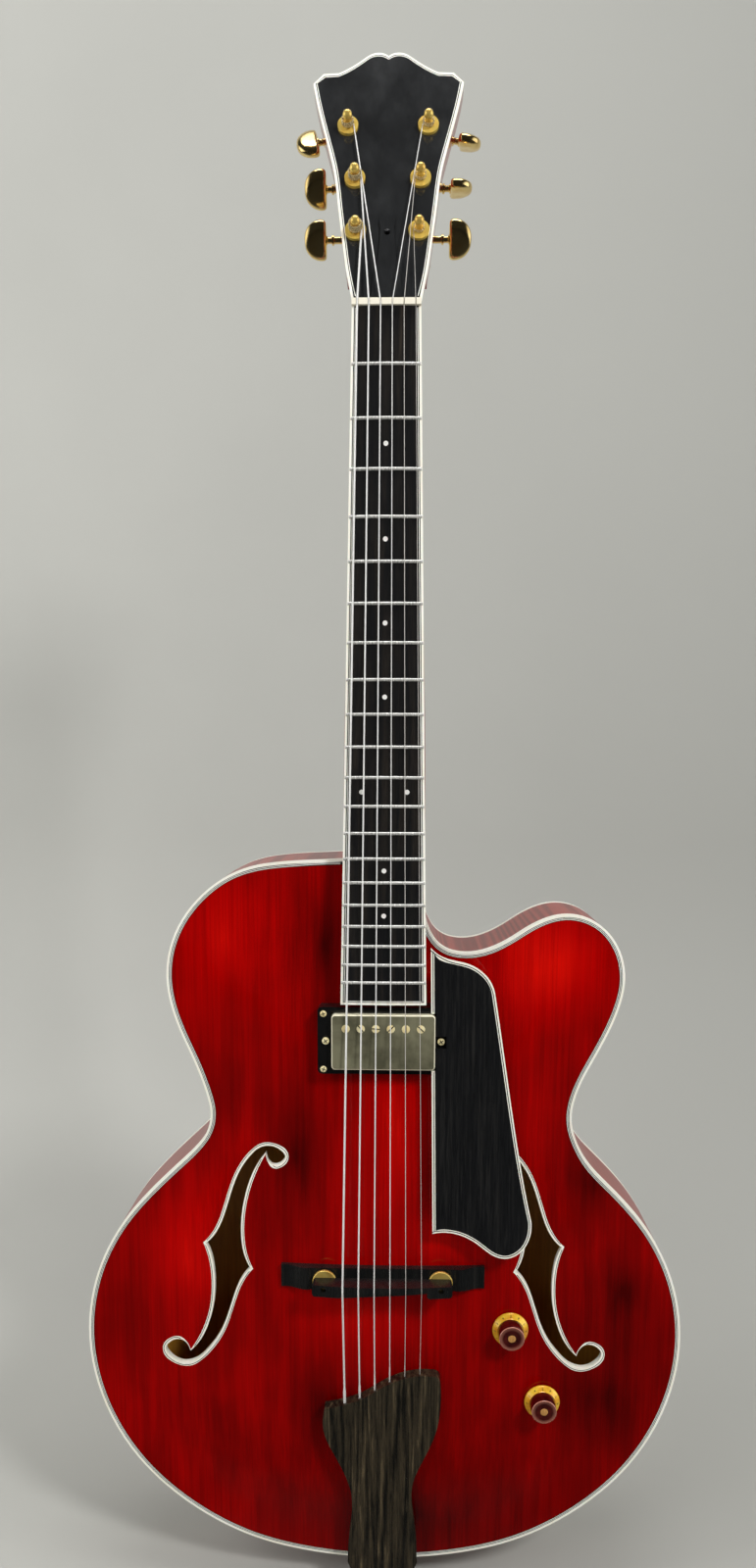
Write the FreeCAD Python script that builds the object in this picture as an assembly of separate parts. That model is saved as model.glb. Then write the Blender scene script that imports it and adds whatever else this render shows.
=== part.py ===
import FreeCAD, Part
import math
import os

# Frame: +X to the treble side, +Z up the neck, the front faces -Y.
# The origin is the nut: the middle of the fingerboard's upper end, on its playing face.
# Every drawing below uses x, h and z, where h is the height towards the front, so y = -h.
# The body is drawn from the rim plane (h = 0) and the neck joint (z = 0),
# the neck from the playing face and the nut, the headstock from the nut along its own slope.

V = FreeCAD.Vector
os.makedirs("parts", exist_ok=True)

# Scale and neck
SCALE_LENGTH = 635.0
FRET_COUNT = 20
BODY_FRET = 14
NECK_ANGLE = 4.0
HEAD_ANGLE = 13.0
NUT_WIDTH = 44.45
NUT_LENGTH = 4.0
NUT_HEIGHT = 1.9
BOARD_LENGTH = 450.0
BOARD_END_WIDTH = 57.6
BOARD_THICK = 6.0
BOARD_RADIUS = 305.0
BOARD_OVER_RIM = 19.0
BOARD_BINDING = 1.6
FRET_WIDTH = 2.1
FRET_HEIGHT = 1.0
DOT_RADIUS = 1.6
DOT_DEPTH = 1.2
NECK_DEPTH_NUT = 15.0
NECK_DEPTH_HEEL = 18.0
TONGUE_WIDTH = 38.0
TONGUE_THICK = 6.0
TONGUE_LENGTH = 84.0
HEEL_BOTTOM = -69.0
TENON_WIDTH = 24.0
TENON_LENGTH = 22.0
TENON_BOTTOM = -52.0
TRUSS_ROD_RADIUS = 2.4
TRUSS_ROD_DEPTH = 9.0
ROD_FOOT = 20.0
ROD_NUT_END = 26.0
ROD_NUT_LENGTH = 12.0
ROD_NUT_RADIUS = 4.0
ROD_CHANNEL_HALF = 3.2
ROD_POCKET_HALF = 5.0
ROD_POCKET_INSET = 5.0

# Headstock
HEAD_DROP = 4.0
OVERLAY_THICK = 2.0
HEAD_WOOD = 11.5
HEAD_START = 6.0
THROAT_END = 25.5
BACK_POINTS = 12
HEAD_BINDING = 1.6
COVER_THICK = 1.8

# Body
BODY_LENGTH = 526.5
LOWER_BOUT = 429.0
RIM_DEPTH = 74.0
PLATE_EDGE = 5.0
PLATE_THICK = 6.0
TOP_ARCH = 17.0
BACK_ARCH = 17.0
ARCH_POWER = 2.4
ARCH_REACH = 85.0
SKIN_STEP = 6.0
SKIN_SWEEPS = 150
SKIN_HASTE = 1.7
RECURVE_DEPTH = 0.8
RECURVE_START = 0.72
FLAT_RIM = 9.0
HOLLOW_STEP = 0.6
CARVED_GRID = (29, 35)
HOLLOWED_GRID = (17, 21)
SIDE_THICK = 2.5
LINING_THICK = 6.0
LINING_HEIGHT = 13.0
BINDING_THICK = 1.7
BINDING_HEIGHT = 6.5
PURFLING_WIDTH = 2.2
PURFLING_DEPTH = 1.2
F_BINDING = 2.3
BLOCK_LENGTH = 46.0
NECK_BLOCK_LEFT = -34.0
TAIL_BLOCK_LENGTH = 28.0
TAIL_BLOCK_WIDTH = 64.0
TONE_BAR_X = 50.0
TONE_BAR_WIDTH = 8.0
TONE_BAR_TOP_Z = -165.0
TONE_BAR_BOTTOM_Z = -430.0
TONE_BAR_DEEP = 11.0

# Pickup
PICKUP_Z = -123.6
COVER_LENGTH = 70.0
COVER_WIDTH = 38.0
COVER_TOP = 26.0
COVER_DEEP = 17.0
COVER_WALL = 0.8
RING_LENGTH = 89.5
RING_WIDTH = 46.5
RING_TOP = 20.2
RING_GAP = 0.6
BASEPLATE_THICK = 1.5
LEG_DROP = 6.0
LEG_WIDTH = 7.0
HEIGHT_SCREW_X = 39.2
HEIGHT_SCREW_RADIUS = 1.25
POLE_SPREAD = 50.6
POLE_OFFSET = 9.6
POLE_RADIUS = 2.3
POLE_PROUD = 0.8

# Bridge, strings and tailpiece
BRIDGE_Z = -294.5
BRIDGE_BASE_LENGTH = 143.0
BRIDGE_BASE_WIDTH = 16.0
BRIDGE_BASE_TOP = 22.4
BRIDGE_BASE_TIP = 3.5
BRIDGE_POST_X = 40.4
BRIDGE_POST_RADIUS = 1.8
BRIDGE_POST_SINK = 4.0
WHEEL_RADIUS = 8.4
WHEEL_THICK = 2.6
WHEEL_ROOM = 2.8
SADDLE_LENGTH = 96.4
SADDLE_DEPTH = 8.2
SADDLE_FRONT = 3.3
SADDLE_SLANT = 4.2
SADDLE_LOBE = 17.4
SADDLE_LOBE_ROUND = 2.0
RUNNING_GAP = 0.06
STRING_COUNT = 6
STRING_RADII = (0.66, 0.53, 0.41, 0.30, 0.22, 0.165)
NUT_SPREAD = 37.4
SADDLE_SPREAD = 54.0
TAIL_SPREAD = 53.2
STRING_OVER_NUT = 1.0
STRING_RISE = 3.6
STRING_BEND = 5.0
STRING_HIDDEN = 8.0
STRING_BREAK = 12.0
STRING_LEAD = 6.0
SADDLE_STRING_GAP = 0.42
NUT_STRING_GAP = 0.15
SLOT_REACH = 12.0
SLOT_OVERLAP = 0.6
TURNS = 3
TURN_GAP = 0.5
POST_GAP = 0.3
TAILPIECE_Z = -364.0
TAILPIECE_TOP = 28.0
TAILPIECE_THICK = 9.0
TAILPIECE_SLOPE = 4.0
TAIL_SADDLE_WIDTH = 40.0
TAIL_SADDLE_LENGTH = 11.0
GUT_RADIUS = 1.5
GUT_SPREAD = 9.0
GUT_BEND = 3.0
GUT_GAP = 0.2
PIN_HEAD_RADIUS = 7.5
PIN_BODY_RADIUS = 5.5
JACK_BORE_RADIUS = 3.2
JACK_BORE_LENGTH = 34.0

# Pickguard and controls
GUARD_THICK = 3.0
GUARD_SLOPE = 2.0
GUARD_BINDING = 2.2
GUARD_REST_RADIUS = 6.0
GUARD_REST_PLACE = (78.0, -240.0)
KNOB_PLACES = ((90.5, -334.0), (114.7, -391.0))
KNOB_SKIRT_RADIUS = 12.7
KNOB_BODY_RADIUS = 9.4
KNOB_TOP_RADIUS = 8.6
KNOB_SKIRT_HEIGHT = 4.0
KNOB_HEIGHT = 14.5
KNOB_LIFT = 0.8
SHAFT_RADIUS = 3.0
POT_RADIUS = 12.0
POT_HEIGHT = 9.0
POT_BUSH_RADIUS = 4.6

# Tuners: x and the distance from the nut of each post, bass side from the nut outwards
POST_PLACES = ((-20.5, 55.4), (-21.4, 93.0), (-26.4, 131.6), (26.4, 131.6), (21.4, 93.0), (20.5, 55.4))
KEY_REACH = (47.8, 48.4, 53.3, 53.3, 48.4, 47.8)
KEY_LEAN = (0.0, 0.0, 10.0, 10.0, 0.0, 0.0)
KEY_TURN = (44.0, 44.0, -16.0, -60.0, -66.0, 44.0)
POST_RADIUS = 3.0
POST_TIP = 7.0
WASHER_RADIUS = 6.8
WASHER_THICK = 2.0
BUSH_RADIUS = 4.5
BUSH_LENGTH = 12.0
GEAR_RADIUS = 6.6
GEAR_THICK = 3.0
WORM_RADIUS = 1.9
WORM_GAP = 0.3
WORM_OVERLAP = 5.0
SHAFT_DEPTH = 5.0
HOUSING_LENGTH = 24.0
HOUSING_WIDTH = 16.0
HOUSING_HEIGHT = 10.0
HOUSING_RISE = 3.0
HOUSING_ROUND = 2.0
GEAR_ROOM = 8.0
BUTTON_LENGTH = 24.0
BUTTON_WIDTH = 15.0
BUTTON_THICK = 8.0
BUTTON_ROOT = 6.0
BUTTON_CHAMFER = 1.2

# Less rise than this counts as a straight line
STRAIGHT = 1e-4

# Values worked out from the sizes above
HALF_BOUT = LOWER_BOUT / 2
JOINT_FROM_NUT = SCALE_LENGTH * (1 - 2 ** (-BODY_FRET / 12))
JOINT_Z = -JOINT_FROM_NUT * math.cos(math.radians(NECK_ANGLE))
RIM_Y = BOARD_OVER_RIM - JOINT_FROM_NUT * math.sin(math.radians(NECK_ANGLE))
HOLLOW_INSET = SIDE_THICK + LINING_THICK + 1.0
HEAD_BACK = -HEAD_DROP - OVERLAY_THICK - HEAD_WOOD
WORM_OFFSET = GEAR_RADIUS + WORM_RADIUS + WORM_GAP
PIN_DEPTH = RIM_DEPTH / 2
SADDLE_TOP = BOARD_OVER_RIM - BRIDGE_Z * math.tan(math.radians(NECK_ANGLE)) + STRING_RISE
WHEEL_LOW = BRIDGE_BASE_TOP + WHEEL_ROOM
SADDLE_LOW = WHEEL_LOW + WHEEL_THICK

# Body outline, as shares of half the lower bout and of the body length.
# The lower part is the same on both sides. The cutaway makes the treble side different above it.
LOWER_SIDE = [(0.240, 0.992), (0.444, 0.971), (0.647, 0.927), (0.844, 0.851), (0.965, 0.756),
              (1.000, 0.655), (0.963, 0.574), (0.876, 0.504), (0.753, 0.446)]
BASS_SIDE = [(0.140, 0.0034), (0.287, 0.0065), (0.475, 0.021), (0.602, 0.058), (0.684, 0.112),
             (0.704, 0.1605), (0.675, 0.221), (0.614, 0.281), (0.584, 0.316), (0.570, 0.348),
             (0.5865, 0.374), (0.620, 0.393), (0.687, 0.420)]
TREBLE_SIDE = [(0.674, 0.411), (0.640, 0.387), (0.615, 0.351), (0.634, 0.3086), (0.694, 0.2575),
               (0.7525, 0.203), (0.7725, 0.160), (0.745, 0.1147), (0.681, 0.086), (0.5865, 0.0745),
               (0.494, 0.0838), (0.371, 0.1136), (0.261, 0.1254), (0.183, 0.116), (0.147, 0.097),
               (0.1305, 0.072)]
CUTAWAY_CORNER = 25.5

# One f-hole, to the outside of its binding, as four curves between its two points and two cusps
F_CUSP_UPPER = (82.9, -209.5)
F_POINT_OUTER = (128.4, -276.0)
F_CUSP_LOWER = (138.8, -357.0)
F_POINT_INNER = (92.1, -292.6)
F_OUTER_UPPER = [(74.1, -219.0), (66.4, -210.6), (79.4, -200.9), (95.7, -209.9), (105.3, -225.0),
                 (112.0, -244.0), (119.0, -263.5)]
F_OUTER_LOWER = [(124.6, -286.5), (122.4, -303.5), (123.8, -322.0), (129.5, -340.5)]
F_INNER_LOWER = [(150.4, -347.8), (159.7, -357.4), (145.7, -370.2), (125.0, -358.5), (113.5, -341.0),
                 (106.0, -320.0), (101.0, -306.0)]
F_INNER_UPPER = [(97.1, -279.0), (98.5, -264.0), (97.3, -249.4), (92.8, -231.2)]

# Half the headstock, from the nut to the dip at its crown
HEAD_SIDE = [(22.4, 9.0), (25.9, 25.5), (29.0, 48.0), (32.4, 76.0), (35.4, 100.0), (38.8, 115.0),
             (42.6, 130.3), (46.2, 145.5), (49.7, 163.8)]
HEAD_EAR = (43.0, 171.0)
HEAD_CROWN = [(33.0, 171.5), (27.5, 174.3), (16.5, 181.9), (11.5, 185.4), (7.0, 186.5)]
HEAD_DIP = (0.0, 184.0)

# Half the bell of the truss rod cover
COVER_SIDE = [(9.8, 8.0), (9.4, 16.0), (8.4, 24.0), (6.2, 34.0), (4.9, 46.0), (4.3, 58.0)]
COVER_TIP = (0.0, 66.0)

# Pickguard edges: the end by the fingerboard, the outer side, the lower end
GUARD_NECK_END = [(31.6, -59.4), (45.1, -67.4), (58.2, -70.7), (68.2, -77.3), (75.0, -90.6)]
GUARD_OUTER = [(75.0, -90.6), (83.0, -141.4), (91.2, -193.2), (97.7, -228.3), (102.0, -247.8)]
GUARD_LOW_END = [(102.0, -247.8), (101.1, -260.2), (96.0, -269.5), (84.8, -275.1), (76.2, -272.9),
                 (65.8, -265.3), (55.5, -259.4), (45.3, -256.9), (34.4, -257.8)]

# Tailpiece edges: the swept upper edge, the two flared sides, the clipped foot
TAIL_UPPER = [(-40.8, -391.0), (-27.6, -388.0), (-13.7, -382.5), (0.2, -373.3), (10.6, -367.9),
              (20.9, -364.7), (34.8, -364.0)]
TAIL_SHOULDER = (39.2, -365.2)
TAIL_TREBLE = [(41.0, -369.0), (41.3, -391.0), (38.0, -410.3), (27.1, -437.1), (22.3, -451.0),
               (21.9, -472.0), (25.3, -505.0)]
TAIL_BASS = [(-24.6, -505.0), (-21.7, -472.0), (-22.3, -460.0), (-26.6, -445.0), (-32.9, -431.0),
             (-39.8, -416.0), (-42.0, -398.0)]
TAIL_FOOT = [(25.6, -518.0), (21.6, -527.5), (-21.2, -527.5), (-25.0, -518.0)]


# Drawing helpers

def spline(points):
    """Return a smooth curve through the points."""
    curve = Part.BSplineCurve()
    curve.interpolate(points)
    return curve


def flat(points):
    """Return (x, z) pairs as points of the plane h = 0."""
    return [V(x, 0, z) for x, z in points]


def line(start, end):
    """Return a straight edge."""
    return Part.LineSegment(start, end).toShape()


def arc_edge(arc):
    """Return the edge through an arc's start, middle and end."""
    start, middle, end = arc
    if (middle - (start + end) * 0.5).Length < STRAIGHT:
        return line(start, end)
    return Part.Arc(start, middle, end).toShape()


def arc_from(start, ahead, end):
    """Return start, middle and end of the arc that leaves start in the direction ahead."""
    chord = end - start
    along = V(chord).normalize()
    aside = ahead - along * ahead.dot(along)
    centre = (start + end) * 0.5
    if aside.Length < 1e-9:
        return start, centre, end
    rise = chord.Length / 2 * math.tan(ahead.getAngle(along) / 2)
    return start, centre + aside.normalize() * rise, end


def biarc(start, ahead, end, leave):
    """Return the two arcs that join two points and meet a direction at each.

    Both arcs have tangents of one length, which the quadratic below gives.
    """
    chord = end - start
    both = chord.dot(ahead + leave)
    spread = 2 * (1 - ahead.dot(leave))
    if spread < 1e-9:
        length = chord.dot(chord) / (2 * both)
    else:
        length = (math.sqrt(both ** 2 + spread * chord.dot(chord)) - both) / spread
    middle = (start + end + (ahead - leave) * length) * 0.5
    reach = middle - start
    onward = reach * (2 * ahead.dot(reach) / reach.dot(reach)) - ahead
    return [arc_from(start, ahead, middle), arc_from(middle, onward, end)]


def closed(edges):
    """Return the wire of edges that follow each other."""
    return Part.Wire(edges)


def polygon(points):
    """Return a closed wire of straight edges through (x, z) pairs."""
    corners = flat(points)
    return Part.makePolygon(corners + corners[:1])


def slab(wire, low, high):
    """Return a flat wire filled and drawn out from height low to height high."""
    face = Part.Face(wire)
    face.translate(V(0, -low, 0))
    return face.extrude(V(0, low - high, 0))


def block(x0, x1, low, high, z0, z1):
    """Return a box between two x values, two heights and two z values."""
    return Part.makeBox(x1 - x0, high - low, z1 - z0, V(x0, -high, z0))


def stud(radius, x, z, low, high):
    """Return a round rod that stands on the plane h = 0."""
    return Part.makeCylinder(radius, high - low, V(x, -low, z), V(0, -1, 0))


def rod(radius, start, end):
    """Return a round rod between two points."""
    return Part.makeCylinder(radius, (end - start).Length, start, end - start)


def merged(shapes):
    """Return the shapes as one solid."""
    return shapes[0].fuse(shapes[1:]).removeSplitter()


def on_body(shape):
    """Move a shape drawn from the rim plane and the neck joint."""
    moved = shape.copy()
    moved.translate(V(0, RIM_Y, JOINT_Z))
    return moved


def on_neck(shape):
    """Turn a shape drawn from the playing face and the nut."""
    moved = shape.copy()
    moved.rotate(V(0, 0, 0), V(1, 0, 0), -NECK_ANGLE)
    return moved


def on_head(shape):
    """Turn a shape drawn along the headstock's slope."""
    moved = shape.copy()
    moved.rotate(V(0, 0, 0), V(1, 0, 0), -NECK_ANGLE - HEAD_ANGLE)
    return moved


def turned(x, h, z, angle):
    """Return the point that x, h, z of a sloped drawing has in the shared frame."""
    slope = math.radians(angle)
    back = -h * math.cos(slope) + z * math.sin(slope)
    return V(x, back, h * math.sin(slope) + z * math.cos(slope))


def body_point(x, h, z):
    """Return a point of the body drawing in the shared frame."""
    return V(x, RIM_Y - h, JOINT_Z + z)


# Body outline and the carved arch

def outline_keys():
    """Return the outline's points from the bass side of the neck round to the cutaway."""
    left = [(-x, z) for x, z in BASS_SIDE + LOWER_SIDE[::-1]]
    shares = left + [(0.0, 1.0)] + LOWER_SIDE + TREBLE_SIDE
    return [V(x * HALF_BOUT, 0, -z * BODY_LENGTH) for x, z in shares]


def inset_run(points, distance, inward):
    """Return points moved sideways off their own smooth curve, with one more between each two.

    inward is 1 where the inside lies to the left of the way the points run, and -1 to the right.
    """
    curve = spline(points)
    places = [curve.parameter(point) for point in points]
    middles = [(a + b) / 2 for a, b in zip(places, places[1:])]
    moved = []
    for place in sorted(places + middles):
        ahead = curve.tangent(place)[0]
        aside = V(-ahead.z, 0, ahead.x) * inward
        moved.append(curve.value(place) + aside * distance)
    return moved


def arc_chain(points):
    """Return tangent arcs through the points, two between each neighbouring pair."""
    curve = spline(points)
    places = [curve.parameter(point) for point in points]
    ways = [curve.tangent(place)[0] for place in places]
    chain = []
    for start, ahead, end, leave in zip(points, ways, points[1:], ways[1:]):
        chain += biarc(start, ahead, end, leave)
    return chain


def moved_arc(arc, distance):
    """Return an arc moved sideways, to the left of the way it runs, on the same centre."""
    start, middle, end = arc
    chord = end - start
    left = V(-chord.z, 0, chord.x).normalize()
    bulge = (middle - (start + end) * 0.5).dot(left)
    if abs(bulge) < STRAIGHT:
        return tuple(point + left * distance for point in arc)
    centre = Part.Circle(start, middle, end).Center
    toward = -math.copysign(1, bulge)
    return tuple(point + (centre - point).normalize() * (toward * distance) for point in arc)


OUTLINE = arc_chain(outline_keys())
JOINT_FACE = OUTLINE[0][0].z


def body_wire(inset):
    """Return the body outline, drawn in by the inset."""
    arcs = [moved_arc(arc, inset) for arc in OUTLINE]
    start = arcs[0][0]
    end = arcs[-1][-1]
    corner = V(CUTAWAY_CORNER - inset, 0, start.z)
    return closed([arc_edge(arc) for arc in arcs] + [line(end, corner), line(corner, start)])


def body_prism(inset, low, high):
    """Return the body outline, drawn in by the inset, between two heights."""
    return slab(body_wire(inset), low, high)


def body_ring(outer, inner, low, high):
    """Return the band between two insets of the outline."""
    return body_prism(outer, low, high).cut(body_prism(inner, low - 1, high + 1))


def inside_rows(rim, x, rows):
    """Return the grid rows of one column that lie inside the closed run of points."""
    crossings = []
    for start, end in zip(rim, rim[1:] + rim[:1]):
        if (start.x > x) != (end.x > x):
            crossings.append(start.z + (end.z - start.z) * (x - start.x) / (end.x - start.x))
    crossings.sort()
    kept = []
    for low, high in zip(crossings[::2], crossings[1::2]):
        kept += [row for row in range(rows) if low < SKIN_STEP * (1 - row) < high]
    return kept


def stretched_skin():
    """Return the carve as a grid of columns: a skin held at the flat rim and pressed up evenly.

    Each point settles at the mean of its four neighbours plus a steady lift, and ARCH_REACH says
    how far from the rim its hold is felt. The highest point is 1.
    """
    columns = 2 * int(HALF_BOUT / SKIN_STEP) + 5
    rows = int(BODY_LENGTH / SKIN_STEP) + 4
    rim = [point for edge in body_wire(FLAT_RIM).Edges for point in edge.discretize(200)]
    free = [inside_rows(rim, (i - columns // 2) * SKIN_STEP, rows) for i in range(columns)]
    level = [[0.0] * rows for _ in range(columns)]
    hold = 4 + (SKIN_STEP / ARCH_REACH) ** 2
    for _ in range(SKIN_SWEEPS):
        for i in range(1, columns - 1):
            here, left, right = level[i], level[i - 1], level[i + 1]
            for j in free[i]:
                settled = (left[j] + right[j] + here[j - 1] + here[j + 1] + 1) / hold
                here[j] += SKIN_HASTE * (settled - here[j])
    peak = max(max(column) for column in level)
    return [[value / peak for value in column] for column in level]


SKIN = stretched_skin()


def arch_place(x, z):
    """Return 0 at the arch's highest point, growing to 1 where the flat rim begins."""
    across = x / SKIN_STEP + len(SKIN) // 2
    along = 1 - z / SKIN_STEP
    i = min(max(int(across), 0), len(SKIN) - 2)
    j = min(max(int(along), 0), len(SKIN[0]) - 2)
    u = min(max(across - i, 0.0), 1.0)
    v = min(max(along - j, 0.0), 1.0)
    near = SKIN[i][j] * (1 - v) + SKIN[i][j + 1] * v
    far = SKIN[i + 1][j] * (1 - v) + SKIN[i + 1][j + 1] * v
    return math.sqrt(1 - near * (1 - u) - far * u)


def crown(place):
    """Return the share of the arch's height at a place between centre and rim."""
    return (1 - place ** ARCH_POWER) ** 2


def outer_height(x, z, arch=TOP_ARCH):
    """Return the height of the carved face: a crown with a shallow recurve inside the rim."""
    place = arch_place(x, z)
    dip = max(place - RECURVE_START, 0.0) / (1 - RECURVE_START)
    return arch * crown(place) - RECURVE_DEPTH * math.sin(math.pi * dip) ** 2


def inner_height(x, z, arch=TOP_ARCH):
    """Return the height of the hollowed face behind the carved one."""
    low = HOLLOW_STEP - PLATE_EDGE
    return low + (arch - PLATE_THICK - low) * crown(arch_place(x, z))


def solid_under(height, arch, columns, rows):
    """Return all that lies behind a carved face, as one solid."""
    margin = 16.0
    width = LOWER_BOUT + 2 * margin
    length = BODY_LENGTH + 2 * margin
    grid = []
    for column in range(columns):
        x = width * (column / (columns - 1) - 0.5)
        heights = []
        for row in range(rows):
            z = margin - length * row / (rows - 1)
            heights.append(V(x, -height(x, z, arch), z))
        grid.append(heights)
    surface = Part.BSplineSurface()
    surface.interpolate(grid)
    return surface.toShape().extrude(V(0, PLATE_EDGE + 30.0, 0))


def plate_faces(arch):
    """Return the solids behind the carved face and behind the hollowed face of a plate."""
    carved = solid_under(outer_height, arch, *CARVED_GRID)
    hollowed = solid_under(inner_height, arch, *HOLLOWED_GRID)
    return carved, hollowed


def plate_blank(outer, inner):
    """Return a carved and hollowed plate with a flat gluing edge."""
    high = TOP_ARCH + BACK_ARCH
    carved = body_prism(BINDING_THICK, -PLATE_EDGE, high).common(outer)
    hollow = body_prism(HOLLOW_INSET, -PLATE_EDGE - 1, high).common(inner)
    return carved.cut(hollow)


def highest(x, z, radius):
    """Return the greatest height of the top under a round foot."""
    turns = [2 * math.pi * k / 16 for k in range(16)]
    return max(outer_height(x + radius * math.cos(t), z + radius * math.sin(t)) for t in turns)


def lowest_inside(x, z, radius):
    """Return the least height of the top's hollowed face over a round foot."""
    turns = [2 * math.pi * k / 16 for k in range(16)]
    return min(inner_height(x + radius * math.cos(t), z + radius * math.sin(t)) for t in turns)


# f-holes

def f_hole_runs(side):
    """Return the four runs of points round one f-hole. side is 1 for treble and -1 for bass."""
    corners = [F_CUSP_UPPER, F_POINT_OUTER, F_CUSP_LOWER, F_POINT_INNER]
    runs = [F_OUTER_UPPER, F_OUTER_LOWER, F_INNER_LOWER, F_INNER_UPPER]
    whole = []
    for index, run in enumerate(runs):
        points = [corners[index]] + run + [corners[(index + 1) % 4]]
        whole.append(flat([(side * x, z) for x, z in points]))
    return whole


def f_hole_outer(side):
    """Return the outside of one f-hole's binding."""
    arcs = [arc for run in f_hole_runs(side) for arc in arc_chain(run)]
    return closed([arc_edge(arc) for arc in arcs])


def f_hole_opening(side):
    """Return the opening inside one f-hole's binding."""
    moved = [inset_run(run, F_BINDING, -side) for run in f_hole_runs(side)]
    edges = []
    for index in range(4):
        start = f_corner(moved[index - 1][-1], moved[index][0])
        end = f_corner(moved[index][-1], moved[(index + 1) % 4][0])
        edges.append(spline([start] + moved[index][2:-2] + [end]).toShape())
    return closed(edges)


def f_corner(end_of_one, start_of_next):
    """Return the corner where two moved runs meet."""
    return (end_of_one + start_of_next) * 0.5


# The sound box

def tenon():
    """Return the neck's tenon, in the body drawing."""
    half = TENON_WIDTH / 2
    return block(-half, half, TENON_BOTTOM, TONGUE_THICK, JOINT_FACE - TENON_LENGTH, JOINT_FACE)


def pickup_hole(low, high, gap):
    """Return the opening for the pickup with its two legs."""
    length = COVER_LENGTH / 2 + gap
    width = COVER_WIDTH / 2 + gap
    main = block(-length, length, low, high, PICKUP_Z - width, PICKUP_Z + width)
    ear = LEG_WIDTH / 2 + gap
    reach = HEIGHT_SCREW_X + LEG_WIDTH / 2
    ears = block(-reach, reach, low, high, PICKUP_Z - ear, PICKUP_Z + ear)
    return main.fuse(ears)


def sound_box(top_faces, back_faces):
    """Return the top, back, sides, bindings and inner pieces of the body.

    Each pair of faces is the carved face and the hollowed face of one plate.
    """
    parts = {}
    rim_back = PLATE_EDGE - RIM_DEPTH
    joint = tenon()
    purfling_inner = BINDING_THICK + PURFLING_WIDTH
    edge_band = body_ring(0, BINDING_THICK, -BINDING_HEIGHT, 0)
    back_band = body_ring(0, BINDING_THICK, -RIM_DEPTH, BINDING_HEIGHT - RIM_DEPTH)
    pin_hole = rod(PIN_BODY_RADIUS, V(0, PIN_DEPTH, -BODY_LENGTH - 9), V(0, PIN_DEPTH, 30 - BODY_LENGTH))

    blank = plate_blank(*top_faces)
    channel = body_ring(BINDING_THICK, purfling_inner, -PURFLING_DEPTH, 4)
    holes = [slab(f_hole_outer(side), -12, TOP_ARCH + 4) for side in (-1, 1)]
    openings = [slab(f_hole_opening(side), -14, TOP_ARCH + 6) for side in (-1, 1)]
    pots = [stud(POT_BUSH_RADIUS + 0.1, x, z, -12, TOP_ARCH + 4) for x, z in KNOB_PLACES]
    cuts = [channel, joint, pickup_hole(-12, TOP_ARCH + 4, RING_GAP)] + holes + pots
    parts["top_plate"] = blank.cut(cuts)
    parts["f_hole_bindings"] = Part.makeCompound(
        [blank.common(hole).cut(opening) for hole, opening in zip(holes, openings)])
    parts["top_binding"] = edge_band.cut(joint)
    parts["top_purfling"] = body_ring(BINDING_THICK, purfling_inner, -PURFLING_DEPTH, 0).cut(joint)

    middle = V(0, RIM_DEPTH / 2, 0)
    parts["back_plate"] = plate_blank(*back_faces).mirror(middle, V(0, 1, 0))
    parts["back_binding"] = back_band

    wall = body_ring(0, SIDE_THICK, rim_back, -PLATE_EDGE).cut([edge_band, back_band, joint, pin_hole])
    far = LOWER_BOUT
    left_half = block(-far, 0, -RIM_DEPTH - 9, 9, -BODY_LENGTH - 9, 9)
    right_half = block(0, far, -RIM_DEPTH - 9, 9, -BODY_LENGTH - 9, 9)
    parts["bass_side"] = wall.common(left_half)
    parts["treble_side"] = wall.common(right_half)

    inside = body_prism(SIDE_THICK, rim_back, -PLATE_EDGE)
    neck_zone = block(NECK_BLOCK_LEFT, CUTAWAY_CORNER, rim_back, -PLATE_EDGE, -BLOCK_LENGTH, 9)
    half_tail = TAIL_BLOCK_WIDTH / 2
    tail_zone = block(-half_tail, half_tail, rim_back, -PLATE_EDGE,
                      -BODY_LENGTH, TAIL_BLOCK_LENGTH - BODY_LENGTH)
    neck_block = inside.common(neck_zone)
    tail_block = inside.common(tail_zone)
    parts["neck_block"] = neck_block.cut(joint)
    parts["tail_block"] = tail_block.cut(pin_hole)

    lining_inset = SIDE_THICK + LINING_THICK
    top_lining = body_ring(SIDE_THICK, lining_inset, -PLATE_EDGE - LINING_HEIGHT, -PLATE_EDGE)
    back_lining = body_ring(SIDE_THICK, lining_inset, rim_back, rim_back + LINING_HEIGHT)
    parts["linings"] = Part.makeCompound(
        [ring.cut([neck_block, tail_block]) for ring in (top_lining, back_lining)])
    parts["tone_bars"] = Part.makeCompound([tone_bar(side, top_faces[1]) for side in (-1, 1)])
    return {name: on_body(shape) for name, shape in parts.items()}


def tone_bar(side, inner):
    """Return one brace, shaped to the hollowed face of the top and thinned towards its ends."""
    x0 = side * TONE_BAR_X - TONE_BAR_WIDTH / 2
    x1 = x0 + TONE_BAR_WIDTH
    mid_z = (TONE_BAR_TOP_Z + TONE_BAR_BOTTOM_Z) / 2
    tip = 3.0
    upper = inner_height(side * TONE_BAR_X, TONE_BAR_TOP_Z)
    lower = inner_height(side * TONE_BAR_X, TONE_BAR_BOTTOM_Z)
    centre = inner_height(side * TONE_BAR_X, mid_z)
    start = V(x0, tip - upper, TONE_BAR_TOP_Z)
    end = V(x0, tip - lower, TONE_BAR_BOTTOM_Z)
    keel = Part.Arc(start, V(x0, TONE_BAR_DEEP - centre, mid_z), end).toShape()
    high_start = V(x0, -TOP_ARCH, TONE_BAR_TOP_Z)
    high_end = V(x0, -TOP_ARCH, TONE_BAR_BOTTOM_Z)
    profile = closed([keel, line(end, high_end), line(high_end, high_start), line(high_start, start)])
    return Part.Face(profile).extrude(V(x1 - x0, 0, 0)).common(inner)


# Neck and headstock

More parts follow.
